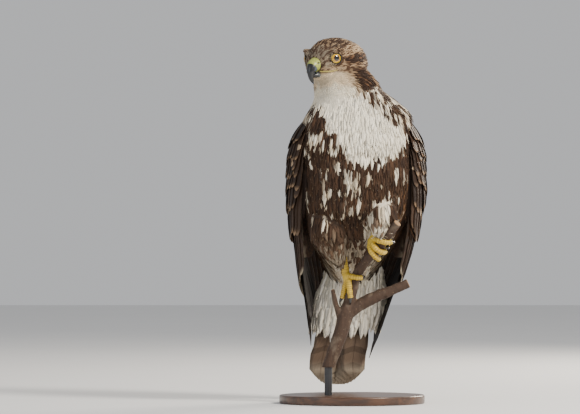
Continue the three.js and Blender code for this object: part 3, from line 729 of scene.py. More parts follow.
def spaced(points, gaps):
    """The places of those points that lie no closer than their gap to one kept before."""
    cells = np.floor(points / gaps.max()).astype(int)
    grid, kept = {}, []
    for i, ((x, y, z), (cx, cy, cz), gap) in enumerate(zip(points.tolist(), cells.tolist(), gaps.tolist())):
        near = (q for dx, dy, dz in NEAR_CELLS for q in grid.get((cx + dx, cy + dy, cz + dz), ()))
        if all((a - x) * (a - x) + (b - y) * (b - y) + (c - z) * (c - z) >= gap * gap for a, b, c in near):
            grid.setdefault((cx, cy, cz), []).append((x, y, z))
            kept.append(i)
    return np.array(kept)


def scatter(spacing, keep_where, rng, tries=9.0):
    """Roots spread over the skin, no two closer than spacing(p); keep_where picks a region."""
    a, b, c = (SKIN_CO[SKIN_TRI[:, k]] for k in range(3))
    mid = (a + b + c) / 3
    ok = keep_where(mid)
    tri = SKIN_TRI[ok]
    weight = np.linalg.norm(np.cross(b - a, c - a), axis=1)[ok] / 2 / spacing(mid[ok]) ** 2
    count = int(weight.sum() * tries)
    pick = rng.choice(len(tri), count, p=weight / weight.sum())
    r1, r2 = np.sqrt(rng.random(count)), rng.random(count)
    w = np.stack([1 - r1, r1 * (1 - r2), r1 * r2], -1)[..., None]
    p = (SKIN_CO[tri[pick]] * w).sum(1)
    kept = spaced(p, spacing(p))
    return p[kept], unit((SKIN_NO[tri[pick]] * w).sum(1))[kept]


# Where a point of the skin is

def round_body(p):
    """Angle round the body in degrees: 0 at the breast, positive to the bird's left, 180 at the back."""
    x, half, front, back = columns(body_at, p[:, 2])
    ahead = -(p[:, 1] - (front + back) / 2) / ((back - front) / 2)
    return np.degrees(np.arctan2((p[:, 0] - x) / half, ahead))


def round_sheet(p):
    """Angle round the wings' sheet from the front, and how far out a point is, 1 on the sheet."""
    x, half, y, depth = columns(sheet_at, p[:, 2])
    qx, qy = (p[:, 0] - x) / half, (p[:, 1] - y) / depth
    return np.degrees(np.arctan2(np.abs(qx), -qy)), np.hypot(qx, qy)


def in_wing(p):
    angle, reach = round_sheet(p)
    front, back, _ = columns(core_at, p[:, 2])
    return (reach > 0.9) & (angle > front - 1) & (angle < back + 4) & (p[:, 2] > 205) & (p[:, 2] < 411)


def from_path(p, path):
    """Distance from a path of points, and how far along it the nearest place is, from 0 to 1."""
    path = np.array(path, float)
    best = np.full(len(p), 1e9)
    along = np.zeros(len(p))
    for i, (a, b) in enumerate(zip(path, path[1:])):
        t = np.clip(((p - a) @ (b - a)) / ((b - a) @ (b - a)), 0, 1)
        d = np.linalg.norm(p - (a + t[:, None] * (b - a)), axis=1)
        along = np.where(d < best, (i + t) / (len(path) - 1), along)
        best = np.minimum(best, d)
    return best, along


def thigh_share(p):
    """1 on a thigh, 0 on the body, for each leg. The belly's coat runs over its top, to an uneven edge."""
    out = []
    for leg in LEGS.values():
        d, t = from_path(p, leg["thigh"])
        half = np.interp(t, np.linspace(0, 1, len(leg["halves"])), leg["halves"])
        top = leg["thigh"][0][2] - 8 - 12 * value_noise(p, 6, 31)
        out.append(smoothstep(1.25, 0.95, d / half) * (p[:, 2] < top))
    return out


def head_share(p):
    return smoothstep(74, 46, np.linalg.norm((p - HEAD_AT + (0, 0, 6)) * (1, 1, 1.15), axis=1))


def near_eye(p):
    local = head_local(p)
    return np.minimum(*(np.linalg.norm(local - eye_rim(side), axis=1) for side in (-1, 1)))


BILL_BASE = np.array([44.0, 0.0, -3.0])


def lie(p):
    """The way the coat lies at each point: away from the bill, then down, and along the thighs."""
    down = np.tile(np.array([0.0, 0.0, -1.0]), (len(p), 1))
    angle = np.radians(round_body(p))
    down[:, 0] += 0.18 * np.sin(angle) * smoothstep(400, 330, p[:, 2])
    away = unit((head_local(p) - BILL_BASE) * (1.15, 1, 1)) @ HEAD_AXES
    flow = tint(unit(down), away, head_share(p))
    for share, leg in zip(thigh_share(p), LEGS.values()):
        axis = unit(np.array(leg["thigh"][-1], float) - np.array(leg["thigh"][0], float))
        flow = tint(flow, axis, share * 0.8)
    return unit(flow)


def bake_place(p):
    """A root's place on the skin's unwrap: the head above, the body round its own axis below."""
    angle = (round_body(p) + 180) / 360
    return np.stack([angle * 0.98 + 0.01, np.clip((p[:, 2] - 165) / 360, 0.005, 0.995)], -1)


# Markings

# Edges of the white breast at each height: where it starts and ends across the front
BREAST = curve([
    (340, 18, 28), (352, 8, 46), (369, -10, 62), (393, -28, 72), (418, -42, 48), (440, -56, 20),
    (456, -64, 8),
])
# Pale patches in the dark belly: middle x and height, half width and half height
PALE = [
    (-53, 393, 6, 8), (-30, 379, 5, 6), (-36, 314, 6, 9), (-18, 314, 4, 6), (-3, 328, 5, 10),
    (43, 289, 8, 16), (30, 246, 17, 13), (60, 338, 5, 9), (8, 300, 4, 7), (-58, 352, 4, 6),
]
# Height, and the share of dark feathers there
BELLY_DARK = [
    (172, 0.04), (205, 0.2), (232, 0.56), (250, 0.86), (330, 0.94), (352, 0.9), (372, 0.86), (400, 0.8),
    (430, 0.68), (455, 0.6),
]
# Regions of the head: middle forward and up, half length, half height, share of dark, light and dark colours
FACE = [
    ((-12, 34), (52, 15), 0.79, mix(BUFF, RUFOUS, 0.45) * 0.66, mix(BROWN, DARK, 0.8)),
    ((34, 18), (9, 12), 0.6, GREY_BUFF * 0.55, mix(BROWN, DARK, 0.4)),
    ((-14, 17), (24, 7), 0.22, mix(BUFF, RUFOUS, 0.35) * 0.85, BROWN),
    ((-14, 3), (26, 6), 0.86, mix(BROWN, RUFOUS, 0.4), DARK),
    ((31, 3), (8, 9), 0.45, mix(GREY_BUFF, BUFF, 0.4) * 0.62, mix(BROWN, DARK, 0.4)),
    ((14, -9), (20, 7), 0.42, mix(BUFF, RUFOUS, 0.35) * 0.75, BROWN),
    ((31, -21), (19, 11), 0.03, mix(BUFF, CREAM, 0.25), BUFF),
    ((33, -50), (28, 22), 0.03, CREAM, BUFF),
    ((-4, -21), (16, 15), 0.9, mix(BROWN, RUFOUS, 0.4), DARK),
]


def body_paint(p, rng):
    """Feathers of the neck, breast, belly, flanks and back, from their place, with painted shade on the lower
    belly.
    """
    n = len(p)
    x, z = p[:, 0], p[:, 2]
    angle = round_body(p)
    side = np.abs(angle)
    coarse, fine = value_noise(p * (1, 1, 0.55), 5.0, 3), value_noise(p * (1, 1, 0.6), 2.6, 8)
    lumps = ranked(coarse * 0.68 + fine * 0.32)
    wander = value_noise(p, 14, 5) - 0.5
    own = rng.random(n)
    low, high = columns(BREAST, z)
    white = (smoothstep(-5, 5, x + 17 * wander - low) * smoothstep(-5, 5, high - x - 17 * wander)
             * smoothstep(343, 354, z + 22 * wander) * (side < 100))
    shade = np.interp(z, *zip(*BELLY_DARK))
    shade = mix(shade, 0.94, smoothstep(60, 84, side) * smoothstep(225, 245, z) * smoothstep(425, 405, z))
    for cx, cz, rx, rz in PALE:
        spot = smoothstep(1.35, 0.6, np.hypot((x - cx) / rx, (z - cz) / rz)) * (side < 90)
        shade = shade * (1 - 0.97 * spot)
    shade = mix(shade, 0.3 * smoothstep(378, 356, z), white)
    back = np.clip(smoothstep(92, 112, side) * (z < 436) + smoothstep(60, 85, side) * (z >= 436), 0, 1)
    # The lower belly, where it turns under: light feathers greyer and darker, dark ones browner. This is
    # partly its own grey-brown and partly painted shade.
    low_belly_tone_and_shade = smoothstep(262, 236, z) * smoothstep(190, 215, z)
    light = tint(CREAM, WHITE, own * 0.4)
    light = tint(light, BUFF, (1 - white) * (0.1 + 0.5 * (own < 0.4)))
    light = tint(light, GREY_BUFF, 0.4 * own * smoothstep(352, 338, z) * smoothstep(190, 215, z))
    light = tint(light, GREY_BUFF * 0.6, low_belly_tone_and_shade * (0.6 + 0.4 * own))
    flank = smoothstep(40, 62, angle) * smoothstep(395, 340, z) * smoothstep(225, 255, z)
    deep = tint(DARK * 0.7, BROWN * 0.8, rng.random(n) * 0.7)
    deep = tint(deep, RUFOUS * 0.65, (flank * 0.7 + 0.12) * (rng.random(n) < 0.5))
    deep = tint(deep, BROWN, low_belly_tone_and_shade * 0.6)
    ground = tint(light, deep, smoothstep(-0.06, 0.06, shade - lumps + (own - 0.5) * 0.1))
    ground = tint(ground, tint(DARK * 0.7, mix(BROWN, RUFOUS, 0.22), own * 0.85), back)
    streak = (rng.random(n) < 0.16 + 0.3 * back) & (white < 0.4)
    form = np.stack([np.where(streak, 0.2, 0.001), np.full(n, 0.6), np.full(n, 0.5)], -1)
    offset = offsets(n, rng)
    edge = np.where(rng.random(n) < 0.3, 0.55, 0.08)
    return vane_paint(offset, ground * (0.9 + 0.2 * own)[:, None], tint(DARK, BROWN, own * 0.5),
                      mix(ground, BUFF, 0.55), form, edge=edge)


def head_paint(p, rng):
    """Small feathers of the head, from their place on it."""
    n = len(p)
    local = head_local(p)
    f, _, u = local.T
    own = rng.random(n)
    coarse, fine = value_noise(local * (0.3, 1, 0.8), 1.8, 13), value_noise(local * (0.4, 1, 1), 1.0, 17)
    streaks = ranked(coarse * 0.65 + fine * 0.35)
    wander = (value_noise(local, 7, 19) - 0.5) * 0.5
    share = np.full(n, 0.6)
    light = np.tile(mix(BUFF, RUFOUS, 0.5) * 0.85, (n, 1))
    deep = np.tile(mix(DARK, BROWN, 0.6), (n, 1))
    for (cf, cu), (rf, ru), part, pale, dusk in FACE:
        w = smoothstep(1.25, 0.75, np.hypot((f - cf) / rf, (u - cu) / ru) + wander)
        share, light, deep = mix(share, part, w), tint(light, pale, w), tint(deep, dusk, w)
    dark = smoothstep(-0.1, 0.1, share - streaks + (own - 0.5) * 0.15)
    ground = tint(light, deep, dark) * (0.86 + 0.28 * own)[:, None]
    return vane_paint(offsets(n, rng), ground, deep)


def thigh_paint(p, rng):
    """Feathers of the thighs: the right one as dark as the belly above, greyer and darker partly by its own
    colour and partly by painted shade, the left one mostly cream.
    """
    n, z = len(p), p[:, 2]
    own = rng.random(n)
    spots = ranked(value_noise(p * (1, 1, 1.4), 4.2, 23))
    left = smoothstep(0, 14, p[:, 0])
    high = smoothstep(222, 258, z) * (1 - left)
    # The right thigh's light feathers are a dark grey-buff: partly their own colour, partly painted shade.
    light = tint(GREY_BUFF * 0.4, GREY_BUFF * 0.95, 0.1 + 0.8 * own)
    light = tint(light, CREAM, 0.6 * left)
    light = tint(light, BROWN * 0.9, 0.75 * high)
    deep = tint(mix(BROWN, RUFOUS, 0.1), mix(DARK, BROWN, 0.35), high)
    share = mix(np.interp(z, [200, 228, 252], [0.32, 0.58, 0.9]),
                np.interp(z, [238, 262, 276], [0.1, 0.2, 0.75]), left)
    dark = smoothstep(-0.05, 0.05, share - spots + (own - 0.5) * 0.08)
    return vane_paint(offsets(n, rng), tint(light, deep, dark * 0.88), light, light,
                      (0.001, 0.6, 0.001), edge=0.1)


def wing_paint(n, kind, rng):
    """Feathers of one wing row: flight feathers with bars, coverts with pale edges and some pale marks."""
    own = rng.random(n)
    if kind == "primaries":
        ground = tint(BLACKISH, DARK, own * 0.4) * 0.6
        return vane_paint(offsets(n, rng), ground, fringe=BROWN, bars=5.0, edge=0.2)
    if kind == "secondaries":
        ground, fringe = mix(BROWN, DARK, 0.7) * 0.75, mix(BUFF, CREAM, 0.5)
        return vane_paint(offsets(n, rng), ground, fringe=fringe, bars=7.0, edge=0.85)
    share = {"greater": 0.4, "median": 0.3, "lesser": 0.1, "scapular": 0.45, "marginal": 0.06}[kind]
    marked = rng.random(n) < share
    form = np.stack([rng.uniform(0.3, 0.6, n), rng.uniform(0.5, 0.66, n), rng.uniform(0.03, 0.08, n)], -1)
    pale = tint(mix(BUFF, RUFOUS, 0.5), CREAM, rng.random(n) * 0.3) * 0.85
    edge = rng.uniform(0.2, 0.75, n) * (0.5 if kind == "marginal" else 1)
    return vane_paint(offsets(n, rng), tint(DARK * 0.42, BROWN * 0.5, own), pale, mix(RUFOUS, BUFF, 0.35),
                      np.where(marked[:, None], form, NO_MARK), edge=edge)


def pick_paint(a, b, share):
    """Takes each vane's whole paint from b where share says so, else from a."""
    return {key: np.where(share[:, None], b[key], a[key]) for key in a}


# Small feathers

def head_feathers(rng):
    def gap_at(p):
        d = np.linalg.norm(head_local(p) - BILL_BASE, axis=1)
        return np.interp(d, [5, 30, 60, 100], [1.0, 1.15, 1.4, 1.9])

    def on_area(p):
        f, _, u = head_local(p).T
        bare = (f > 38.5) & (u < 9) & (u > -18)
        lips = (np.abs(u + 9.5) < 0.7) & (f > 22) & (f < 40)
        return (head_share(p) > 0.35) & (near_eye(p) > 8.9) & ~bare & ~lips

    p, normal = scatter(gap_at, on_area, rng)
    n = len(p)
    f, l, u = head_local(p).T
    gap = gap_at(p)
    length = np.interp(gap, [1.0, 1.15, 1.4, 1.9], [3.2, 5.8, 10, 15]) * rng.uniform(0.8, 1.2, n)
    round_eye = (near_eye(p) < 16) & (f > EYE["f"] - 4)
    length = np.where(round_eye, np.minimum(length, 4.2), length)
    length = np.where(f > 24, np.minimum(length, np.interp(f, [24, 34], [5.5, 2.6])), length)
    brow = (u > 13) & (np.abs(l) > 12) & (f > 6)
    length = np.where(brow, np.minimum(length, 3.4), length)
    roots = {
        "p": p, "normal": normal, "along": lie(p), "length": length,
        "width": np.interp(gap, [1.0, 1.9], [1.3, 2.7]), "lift": np.radians(rng.uniform(6, 11, n)),
        "bend": np.where((u < -2) | brow, 150.0, 60.0),
    }
    small_coat("feathers_head", 5, roots, head_paint(p, rng), rng, 0.3, 0.14, 0.2)


def eye_feathers(rng, count=150):
    """The feathers that ring the eyes. They overhang from above."""
    parts = []
    for side in (-1, 1):
        out, across, up = eye_axes(side)
        turn = rng.uniform(0, 2 * math.pi, count)
        spoke = across * np.cos(turn)[:, None] + up * np.sin(turn)[:, None]
        top = np.clip(np.sin(turn), 0, 1)[:, None]
        reach = rng.uniform(9.6, 11.0, count)[:, None] - 0.9 * top
        parts.append((on_head(eye_rim(side)) + spoke * reach + out * (0.3 + 1.1 * top),
                      unit(np.tile(out, (count, 1)) + 0.35 * spoke),
                      unit(-FORWARD - spoke * (0.25 + 0.55 * top)),
                      rng.uniform(2.4, 3.4, count) + 0.7 * top[:, 0]))
    p, normal, along, length = (np.concatenate(part) for part in zip(*parts))
    n = len(p)
    roots = {
        "p": p, "normal": normal, "along": along, "length": length, "width": rng.uniform(0.9, 1.3, n),
        "lift": np.radians(rng.uniform(4, 14, n)), "bend": np.full(n, 30.0),
    }
    small_coat("feathers_eyes", 5, roots, head_paint(p, rng), rng, 0.1, 0.14, 0.1)


def body_feathers(rng):
    heights = [180, 250, 340, 400, 440, 470]

    def gap_at(p):
        gap = np.interp(p[:, 2], heights, [2.9, 2.7, 2.4, 2.2, 1.9, 1.7])
        return gap + 1.2 * smoothstep(95, 125, np.abs(round_body(p))) * (p[:, 2] < 430)

    def on_area(p):
        _, y, z = p.T
        angle, reach = round_sheet(p)
        hidden = in_wing(p) & (z < 352) | (reach > 0.84) & (z < 245) & (y < 95)
        hidden |= (angle > 66) & (angle < 150) & (reach > 0.78) & (z < 285)
        rump = 0.75 * y - 0.66 * z > -70
        return (head_share(p) <= 0.35) & (np.maximum(*thigh_share(p)) < 0.5) & ~hidden & ~rump

    p, normal = scatter(gap_at, on_area, rng)
    n = len(p)
    length = np.interp(p[:, 2], heights, [26, 25, 24, 24, 19, 14]) * rng.uniform(0.75, 1.2, n)
    paint = body_paint(p, rng)
    neck = (p[:, 2] > 440) & (rng.random(n) < head_share(p) * 2.6)
    paint = pick_paint(paint, head_paint(p, rng), neck)
    paint = pick_paint(paint, wing_paint(n, "marginal", rng), in_wing(p))
    roots = {
        "p": p, "normal": normal, "along": lie(p), "length": length,
        "width": gap_at(p) * rng.uniform(1.7, 2.5, n),
        "lift": np.radians(rng.uniform(3.5, 8, n)), "bend": np.full(n, 95.0),
    }
    small_coat("feathers_body", 6, roots, paint, rng, 0.3, 0.14, 0.06)


def thigh_feathers(rng):
    heights = [195, 230, 270]
    p, normal = scatter(lambda q: np.interp(q[:, 2], heights, [2.0, 2.6, 3.0]),
                        lambda q: np.maximum(*thigh_share(q)) >= 0.5, rng)
    n = len(p)
    length = np.interp(p[:, 2], heights, [11, 18, 24]) * rng.uniform(0.8, 1.2, n)
    roots = {
        "p": p, "normal": normal, "along": lie(p), "length": length, "width": length * 0.3,
        "lift": np.radians(rng.uniform(5, 17, n)), "bend": np.full(n, 60.0),
    }
    small_coat("feathers_thighs", 6, roots, thigh_paint(p, rng), rng, 0.5, 0.2, 0.1)


# Wings and tail

COVERT_LIFT = (-3.5, 0.4, 4.2)
SCAPULAR_LIFT = (-3, 3.4, 7.6)
# name, count, width, height over the sheet at root, middle and tip, tilt, front and back feather (root
# angle and height, tip angle and height), how far the tips of the middle ones hang lower, and how much
# higher they all end on the right wing
WING_ROWS = [
    ("primaries", 9, 19, (-7, -6, -5), 0.24, (74, 276, 89, 62), (100, 258, 126, 112), 0, 18),
    ("secondaries", 12, 26, (-5, -2.2, 0), 0.17, (62, 278, 70, 184), (136, 298, 143, 138), 8, 0),
    ("greater", 13, 20, COVERT_LIFT, 0.14, (57, 318, 62, 243), (132, 328, 140, 213), 0, 0),
    ("median", 13, 19, COVERT_LIFT, 0.14, (57, 346, 60, 282), (128, 352, 135, 256), 0, 0),
    ("median", 13, 18, COVERT_LIFT, 0.14, (57, 366, 59, 308), (124, 370, 131, 288), 0, 0),
    ("lesser", 13, 17, COVERT_LIFT, 0.14, (59, 382, 60, 331), (122, 385, 127, 314), 0, 0),
    ("lesser", 12, 16, COVERT_LIFT, 0.14, (62, 396, 61, 352), (120, 396, 124, 338), 0, 0),
    ("lesser", 10, 15, COVERT_LIFT, 0.14, (66, 406, 64, 372), (116, 406, 120, 360), 0, 0),
    ("scapular", 5, 24, SCAPULAR_LIFT, 0.15, (138, 310, 141, 234), (160, 314, 163, 224), 0, 0),
    ("scapular", 5, 24, SCAPULAR_LIFT, 0.15, (136, 342, 139, 272), (160, 346, 163, 262), 0, 0),
    ("scapular", 5, 23, SCAPULAR_LIFT, 0.15, (134, 368, 137, 306), (158, 370, 162, 298), 0, 0),
    ("scapular", 5, 22, SCAPULAR_LIFT, 0.15, (132, 388, 135, 336), (154, 389, 160, 330), 0, 0),
    ("scapular", 5, 20, SCAPULAR_LIFT, 0.15, (128, 402, 131, 362), (150, 402, 156, 356), 0, 0),
]
TIP_WANDER = {"primaries": 0.8, "secondaries": 1.5}
OTHER_TIP_WANDER = 4.2
# Rows above the tail's root: tip, count, spread, width and height over the tail
TAIL_COVERTS = [(0.36, 7, 27, 20, 3.4), (0.28, 7, 28, 20, 5.2), (0.18, 6, 28, 20, 7.2)]


def wing_coat(side, name):
    rng = np.random.default_rng(31 + side)
    coat = Coat(name, FLIGHT, 15, 7)
    for kind, count, width, lifts, tilt, front, back, sag, shorter in WING_ROWS:
        lift_at = curve([(0, lifts[0]), (0.4, lifts[1]), (1, lifts[2])])
        paint = wing_paint(count, kind, rng)
        for k in range(count):
            share = k / (count - 1)
            root_a, root_z, tip_a, tip_z = (mix(a, b, share) for a, b in zip(front, back))
            wander = rng.normal(0, 1, 3)
            tip = tip_z - sag * 4 * share * (1 - share) + (0 if side > 0 else shorter)
            tip += wander[0] * TIP_WANDER.get(kind, OTHER_TIP_WANDER)
            tip_turn = tip_a + wander[1] * 0.9

            def at(s, t, w):
                z, angle = mix(root_z, tip, s), mix(root_a, tip_turn, s)
                _, half, _, depth = columns(sheet_at, z)
                a = np.radians(angle)
                turn = np.degrees(t / np.hypot(half * np.cos(a), depth * np.sin(a)))
                return wing_point(side, angle + turn, z, w)

            def lift(s, t):
                return lift_at(s) - tilt * t + 0.25 * wander[2] * s[:, None]

            points = plate(coat, at, notched(width, LONG_FORM, rng), lift)
            bake = np.array([[0.05 + 0.9 * (root_a - 50) / 115, 0.05 + 0.9 * (root_z - 230) / 180]])
            coat.add(points, {key: value[k:k + 1] for key, value in paint.items()}, bake)
    coat.build()


def tail_coat():
    rng = np.random.default_rng(47)
    coat = Coat("feathers_tail", FLIGHT, 18, 7)
    n = TAIL["count"]
    for k in range(n):
        place = k - (n - 1) / 2
        outward = math.floor(abs(place))
        length = 1 - 0.0026 * outward ** 2
        under = -(2 * outward + (1 if place > 0 else 0)) * TAIL["step"]
        ground = mix(TAIL_GREY, BROWN, 0.5 * rng.random()) * 0.85
        paint = vane_paint(offsets(1, rng), ground, fringe=mix(CREAM, BUFF, 0.4), bars=8.0, edge=0.4)
        points = plate(coat, lambda s, t, w: tail_point(s * length, place * mix(2, 4.4, s) + t, w),
                       notched(TAIL["width"], TAIL_FORM, rng), lambda s, t: under + 0 * t)
        coat.add(points, paint, np.array([[0.1 + 0.8 * k / (n - 1), 0.1]]))
    for tip, count, spread, width, over in TAIL_COVERTS:
        for k in range(count):
            side = 2 * k / (count - 1) - 1
            end = tip * (1 - 0.22 * side * side) + rng.normal(0, 0.012)
            up = (1.1 if k % 2 else 0) + rng.normal(0, 0.15)

            def at(s, t, w):
                return tail_point(mix(-0.03, end, s), side * spread * mix(0.6, 1, s) + t, w)

            def lift(s, t):
                return over * mix(0.8, 1, s)[:, None] + up - 0.004 * t * t

            points = plate(coat, at, notched(width, VANE_FORM, rng), lift)
            bake = np.array([[0.08 + 0.84 * (side + 1) / 2, 0.3 + 0.6 * tip]])
            coat.add(points, wing_paint(1, "lesser", rng), bake)
    coat.build()


def undertail_coat(count=620):
    """The loose white plumes under the tail."""
    rng = np.random.default_rng(53)
    coat = Coat("feathers_undertail", PLUMAGE, 11, 3)
    across, upper = coat.ring()
    s = np.linspace(0, 1, coat.m)
    starts = np.sort(rng.uniform(-0.02, 0.44, count))[::-1]
    for start, side in zip(starts, rng.uniform(-1, 1, count)):
        run = rng.uniform(0.17, 0.26) * (1 - 0.25 * side ** 2)
        spread = mix(33, 47, min(max(start / 0.3, 0), 1)) * (1.18 if side > 0 else 1)
        width = rng.uniform(7, 12)
        wave, flick = rng.normal(0, 2.2), rng.uniform(0.2, 2.2)
        depth = mix(25.5, 15.5, np.clip((start + 0.25 * s) / 0.66, 0, 1)) * (1 - 0.3 * side ** 2)
        half = (SHARP_FORM(s)[:, 0] * width / 2 * (1 + 0.12 * rng.normal(0, 1, coat.m)))[:, None]
        t = (side * spread * mix(0.9, 1, s) + wave * s ** 2)[:, None] + half * across
        under = depth + flick * s + 1.2 * rng.random()
        w = -under[:, None] + HAIR_THICK / 2 * upper + 0.06 * np.abs(across) * half
        points = tail_point((start + run * s)[:, None] + 0 * t, t, w)
        ground = mix(CREAM, WHITE, rng.random()) * rng.uniform(0.92, 1.04)
        paint = vane_paint(offsets(1, rng), ground, fringe=WHITE, edge=0.2)
        coat.add(points[None], paint, np.array([[0.05 + 0.9 * (side + 1) / 2, 0.02 + 0.1 * (start + 0.1)]]))
    coat.build()


def finish_skin():
    """Colours the skin like the coat over it, so that it doesn't show through."""
    rng = np.random.default_rng(5)
    paint, head = body_paint(SKIN_CO, rng), head_paint(SKIN_CO, rng)
    ground = tint(paint["ground"], head["ground"] * 0.75, head_share(SKIN_CO))
    ground = tint(ground, thigh_paint(SKIN_CO, rng)["ground"] * 0.8, np.maximum(*thigh_share(SKIN_CO)))
    ground = np.where(in_wing(SKIN_CO)[:, None], DARK, ground)
    attribute(skin, "ground", "FLOAT_COLOR", rgba(ground))
    uv_map(skin, "OFBake", bake_place(SKIN_CO))
    piece(skin, skin_material(),
          ("head", "neck", "torso", "tail", "wing_left", "wing_right", "thigh_left", "thigh_right"))


undertail_coat()
small_rng = np.random.default_rng(11)
head_feathers(small_rng)
eye_feathers(small_rng)
body_feathers(small_rng)
thigh_feathers(small_rng)
wing_coat(1, "feathers_wing_left")
wing_coat(-1, "feathers_wing_right")
tail_coat()
finish_skin()

# Eyes

def eye_material():
    """Rings of colour round the pupil, by the angle from the way the eye looks."""
    m = Shader("eye", 0.12, varnish(1.0, 0.02))
    away = m.attr("away", "Fac")
    ray = m.noise(m.scaled(m.attr("around", "Vector"), 7, 7, 1.2), 3.0)
    iris = m.blend(m.step(ray, 0.3, 0.7), srgb(150, 110, 0), srgb(204, 170, 0))
    iris = m.blend(m.step(away, 40, 47), iris, srgb(120, 80, 4))
    iris = m.blend(m.step(away, 31, 24), iris, srgb(178, 108, 0))
    colour = m.blend(m.step(away, 24.0, 22.5), iris, (0.002, 0.002, 0.002))
    return m.finish(m.blend(m.step(away, 45, 47.5), colour, (0.004, 0.003, 0.003)))


def lid_material():
    return grained_material("lid", 0.9, (1800, 1800, 1800), (14, 12, 11), (34, 29, 25), 0.4, 0.0004)


def eyeball(name, centre, axis, material, rings=40, sides=56):
    """A ball whose pole points along axis, with the angle from that pole kept for its colours."""
    side = unit(np.cross(axis, (0, 0, 1)))
    up = np.cross(axis, side)
    polar = np.linspace(0.001, math.pi - 0.001, rings)
    turn = full_turn(sides)
    ring = centre + EYE["radius"] * (axis * np.cos(polar)[:, None, None]
                                     + side * (np.sin(polar)[:, None] * np.cos(turn))[..., None]
                                     + up * (np.sin(polar)[:, None] * np.sin(turn))[..., None])
    points, faces = tube(ring)
    ob = mesh_object("eyeball_" + name, points, faces[:, ::-1])
    away = np.degrees(np.concatenate([np.repeat(polar, sides), [0, math.pi]]))
    attribute(ob, "away", "FLOAT", away)
    spokes = np.tile(np.stack([np.cos(turn), np.sin(turn)], -1), (rings, 1))
    around = np.concatenate([spokes, [[1, 0], [1, 0]]])
    attribute(ob, "around", "FLOAT_VECTOR", np.column_stack([around, away / 90]))
    piece(ob, material, ("eye_" + name,))


def lid(name, side, material, rings=12, sides=48):
    """A ring round the eye, thicker above where the brow presses on it."""
    out, across, up = eye_axes(side)
    turn = full_turn(sides)
    s = full_turn(rings)[:, None]
    top = np.clip(np.sin(turn), 0, 1) ** 2
    major = EYE["rim"] - 0.1 + (1.15 + 0.5 * top) * np.cos(s) - 1.3 * top
    rise = 0.1 + 1.1 * np.sin(s) + 0.9 * top
    ring = (on_head(eye_rim(side)) + across * (major * np.cos(turn))[..., None]
            + up * (major * 0.97 * np.sin(turn))[..., None] + out * rise[..., None])
    i, j = np.meshgrid(np.arange(rings), np.arange(sides), indexing="ij")
    ahead, beside = (i + 1) % rings * sides, (j + 1) % sides
    faces = np.stack([i * sides + j, i * sides + beside, ahead + beside, ahead + j], -1)
    piece(mesh_object("lid_" + name, ring.reshape(-1, 3), faces.reshape(-1, 4)), material)


EYE_SINK = math.sqrt(EYE["radius"] ** 2 - EYE["rim"] ** 2)
eye_paint, lid_paint = eye_material(), lid_material()
for name, side in SIDES:
    centre = on_head(eye_rim(side) - eye_out(side) * (EYE_SINK + EYE["deeper"]))
    eyeball(name, centre, eye_out(side) @ HEAD_AXES, eye_paint)
    lid(name, side, lid_paint)

# Bill

# distance forward, height, half width, half height
BILL = [
    (26, 1.8, 11, 9.7), (35, 1.2, 10.2, 9.7), (42, -0.3, 9, 9.1), (47, -3.5, 7.2, 7.4),
    (50, -9, 5.5, 5.3), (50.2, -15, 4, 3.9), (48.4, -20.5, 2.6, 2.6), (45, -25.8, 0.6, 0.5),
]
LOWER_BILL = [
    (24, -12.4, 10.5, 5), (34, -13, 9.2, 5), (40, -13.4, 7.4, 4.4), (44.5, -13.8, 5.2, 3.2),
    (48, -14, 2, 1.3),
]
CERE_FRONT = 45.5
BILL_END = 99
NOSTRIL = {"f": 41.0, "l": 8.6, "u": 3.2, "halves": (2.4, 4, 1.7), "deep": 2.2}
# The gape from behind the cere to under the eye: distance forward and height, then half width and half height
GAPE = [(32, -9.7), (27, -9.9), (22, -9.6), (17, -8.8)]
GAPE_HALVES = [(0.8, 0.7), (0.9, 0.8), (0.9, 0.9), (0.9, 0.8), (0.7, 0.6), (0.2, 0.2)]


def bill_rings(rows, steps, sides):
    path = [(f, 0, u) for f, u, _, _ in rows]
    halves = [(w, h) for _, _, w, h in rows]
    return path_rings(path, halves, sides, (0, 1, 0), steps)[0]


def horn_material(name, front, base, edge, roughness):
    """Horn that is dark in front and paler from its base to edge."""
    m = Shader(name, roughness, varnish(0.3, 0.2))
    place = m.attr("place", "Vector")
    lines = m.noise(m.scaled(place, 0.12, 1.2, 1.2), 3.0)
    along = m.split(place)[0] + (lines - 0.5) * 3.0
    colour = m.blend(m.step(along, edge, edge + 7), base, front)
    return m.finish(m.shaded(colour, lines * 0.5 + 0.75), lines, 0.25, 0.0004)


def cere_material():
    m = Shader("cere", 0.42, varnish(0.2, 0.3))
    place = m.attr("place", "Vector")
    blot, fine = m.noise(m.scaled(place, 0.3, 0.3, 0.3)), m.noise(m.scaled(place, 2.2, 2.2, 2.2))
    colour = m.blend(blot, srgb(112, 128, 52), srgb(176, 176, 84))
    # Near black in the nostrils: painted shade of their openings, over the shallow dent that bill_piece
    # makes.
    colour = m.blend(m.step(m.attr("pit", "Fac"), 0.25, 0.75), colour, srgb(26, 24, 18))
    return m.finish(colour, fine, 0.3, 0.0004)


def gape_material():
    return grained_material("gape", 0.5, (1500, 1500, 1500), (132, 118, 52), (182, 166, 84), 0.3, 0.0004)


def nostril_pit(local):
    """How deep the nostril is at points in the head's frame: 1 in its middle, 0 outside."""
    pit = np.zeros(len(local))
    for side in (-1, 1):
        d = (local - (NOSTRIL["f"], side * NOSTRIL["l"], NOSTRIL["u"])) / NOSTRIL["halves"]
        pit = np.maximum(pit, smoothstep(1.1, 0.5, np.linalg.norm(d, axis=1)))
    return pit


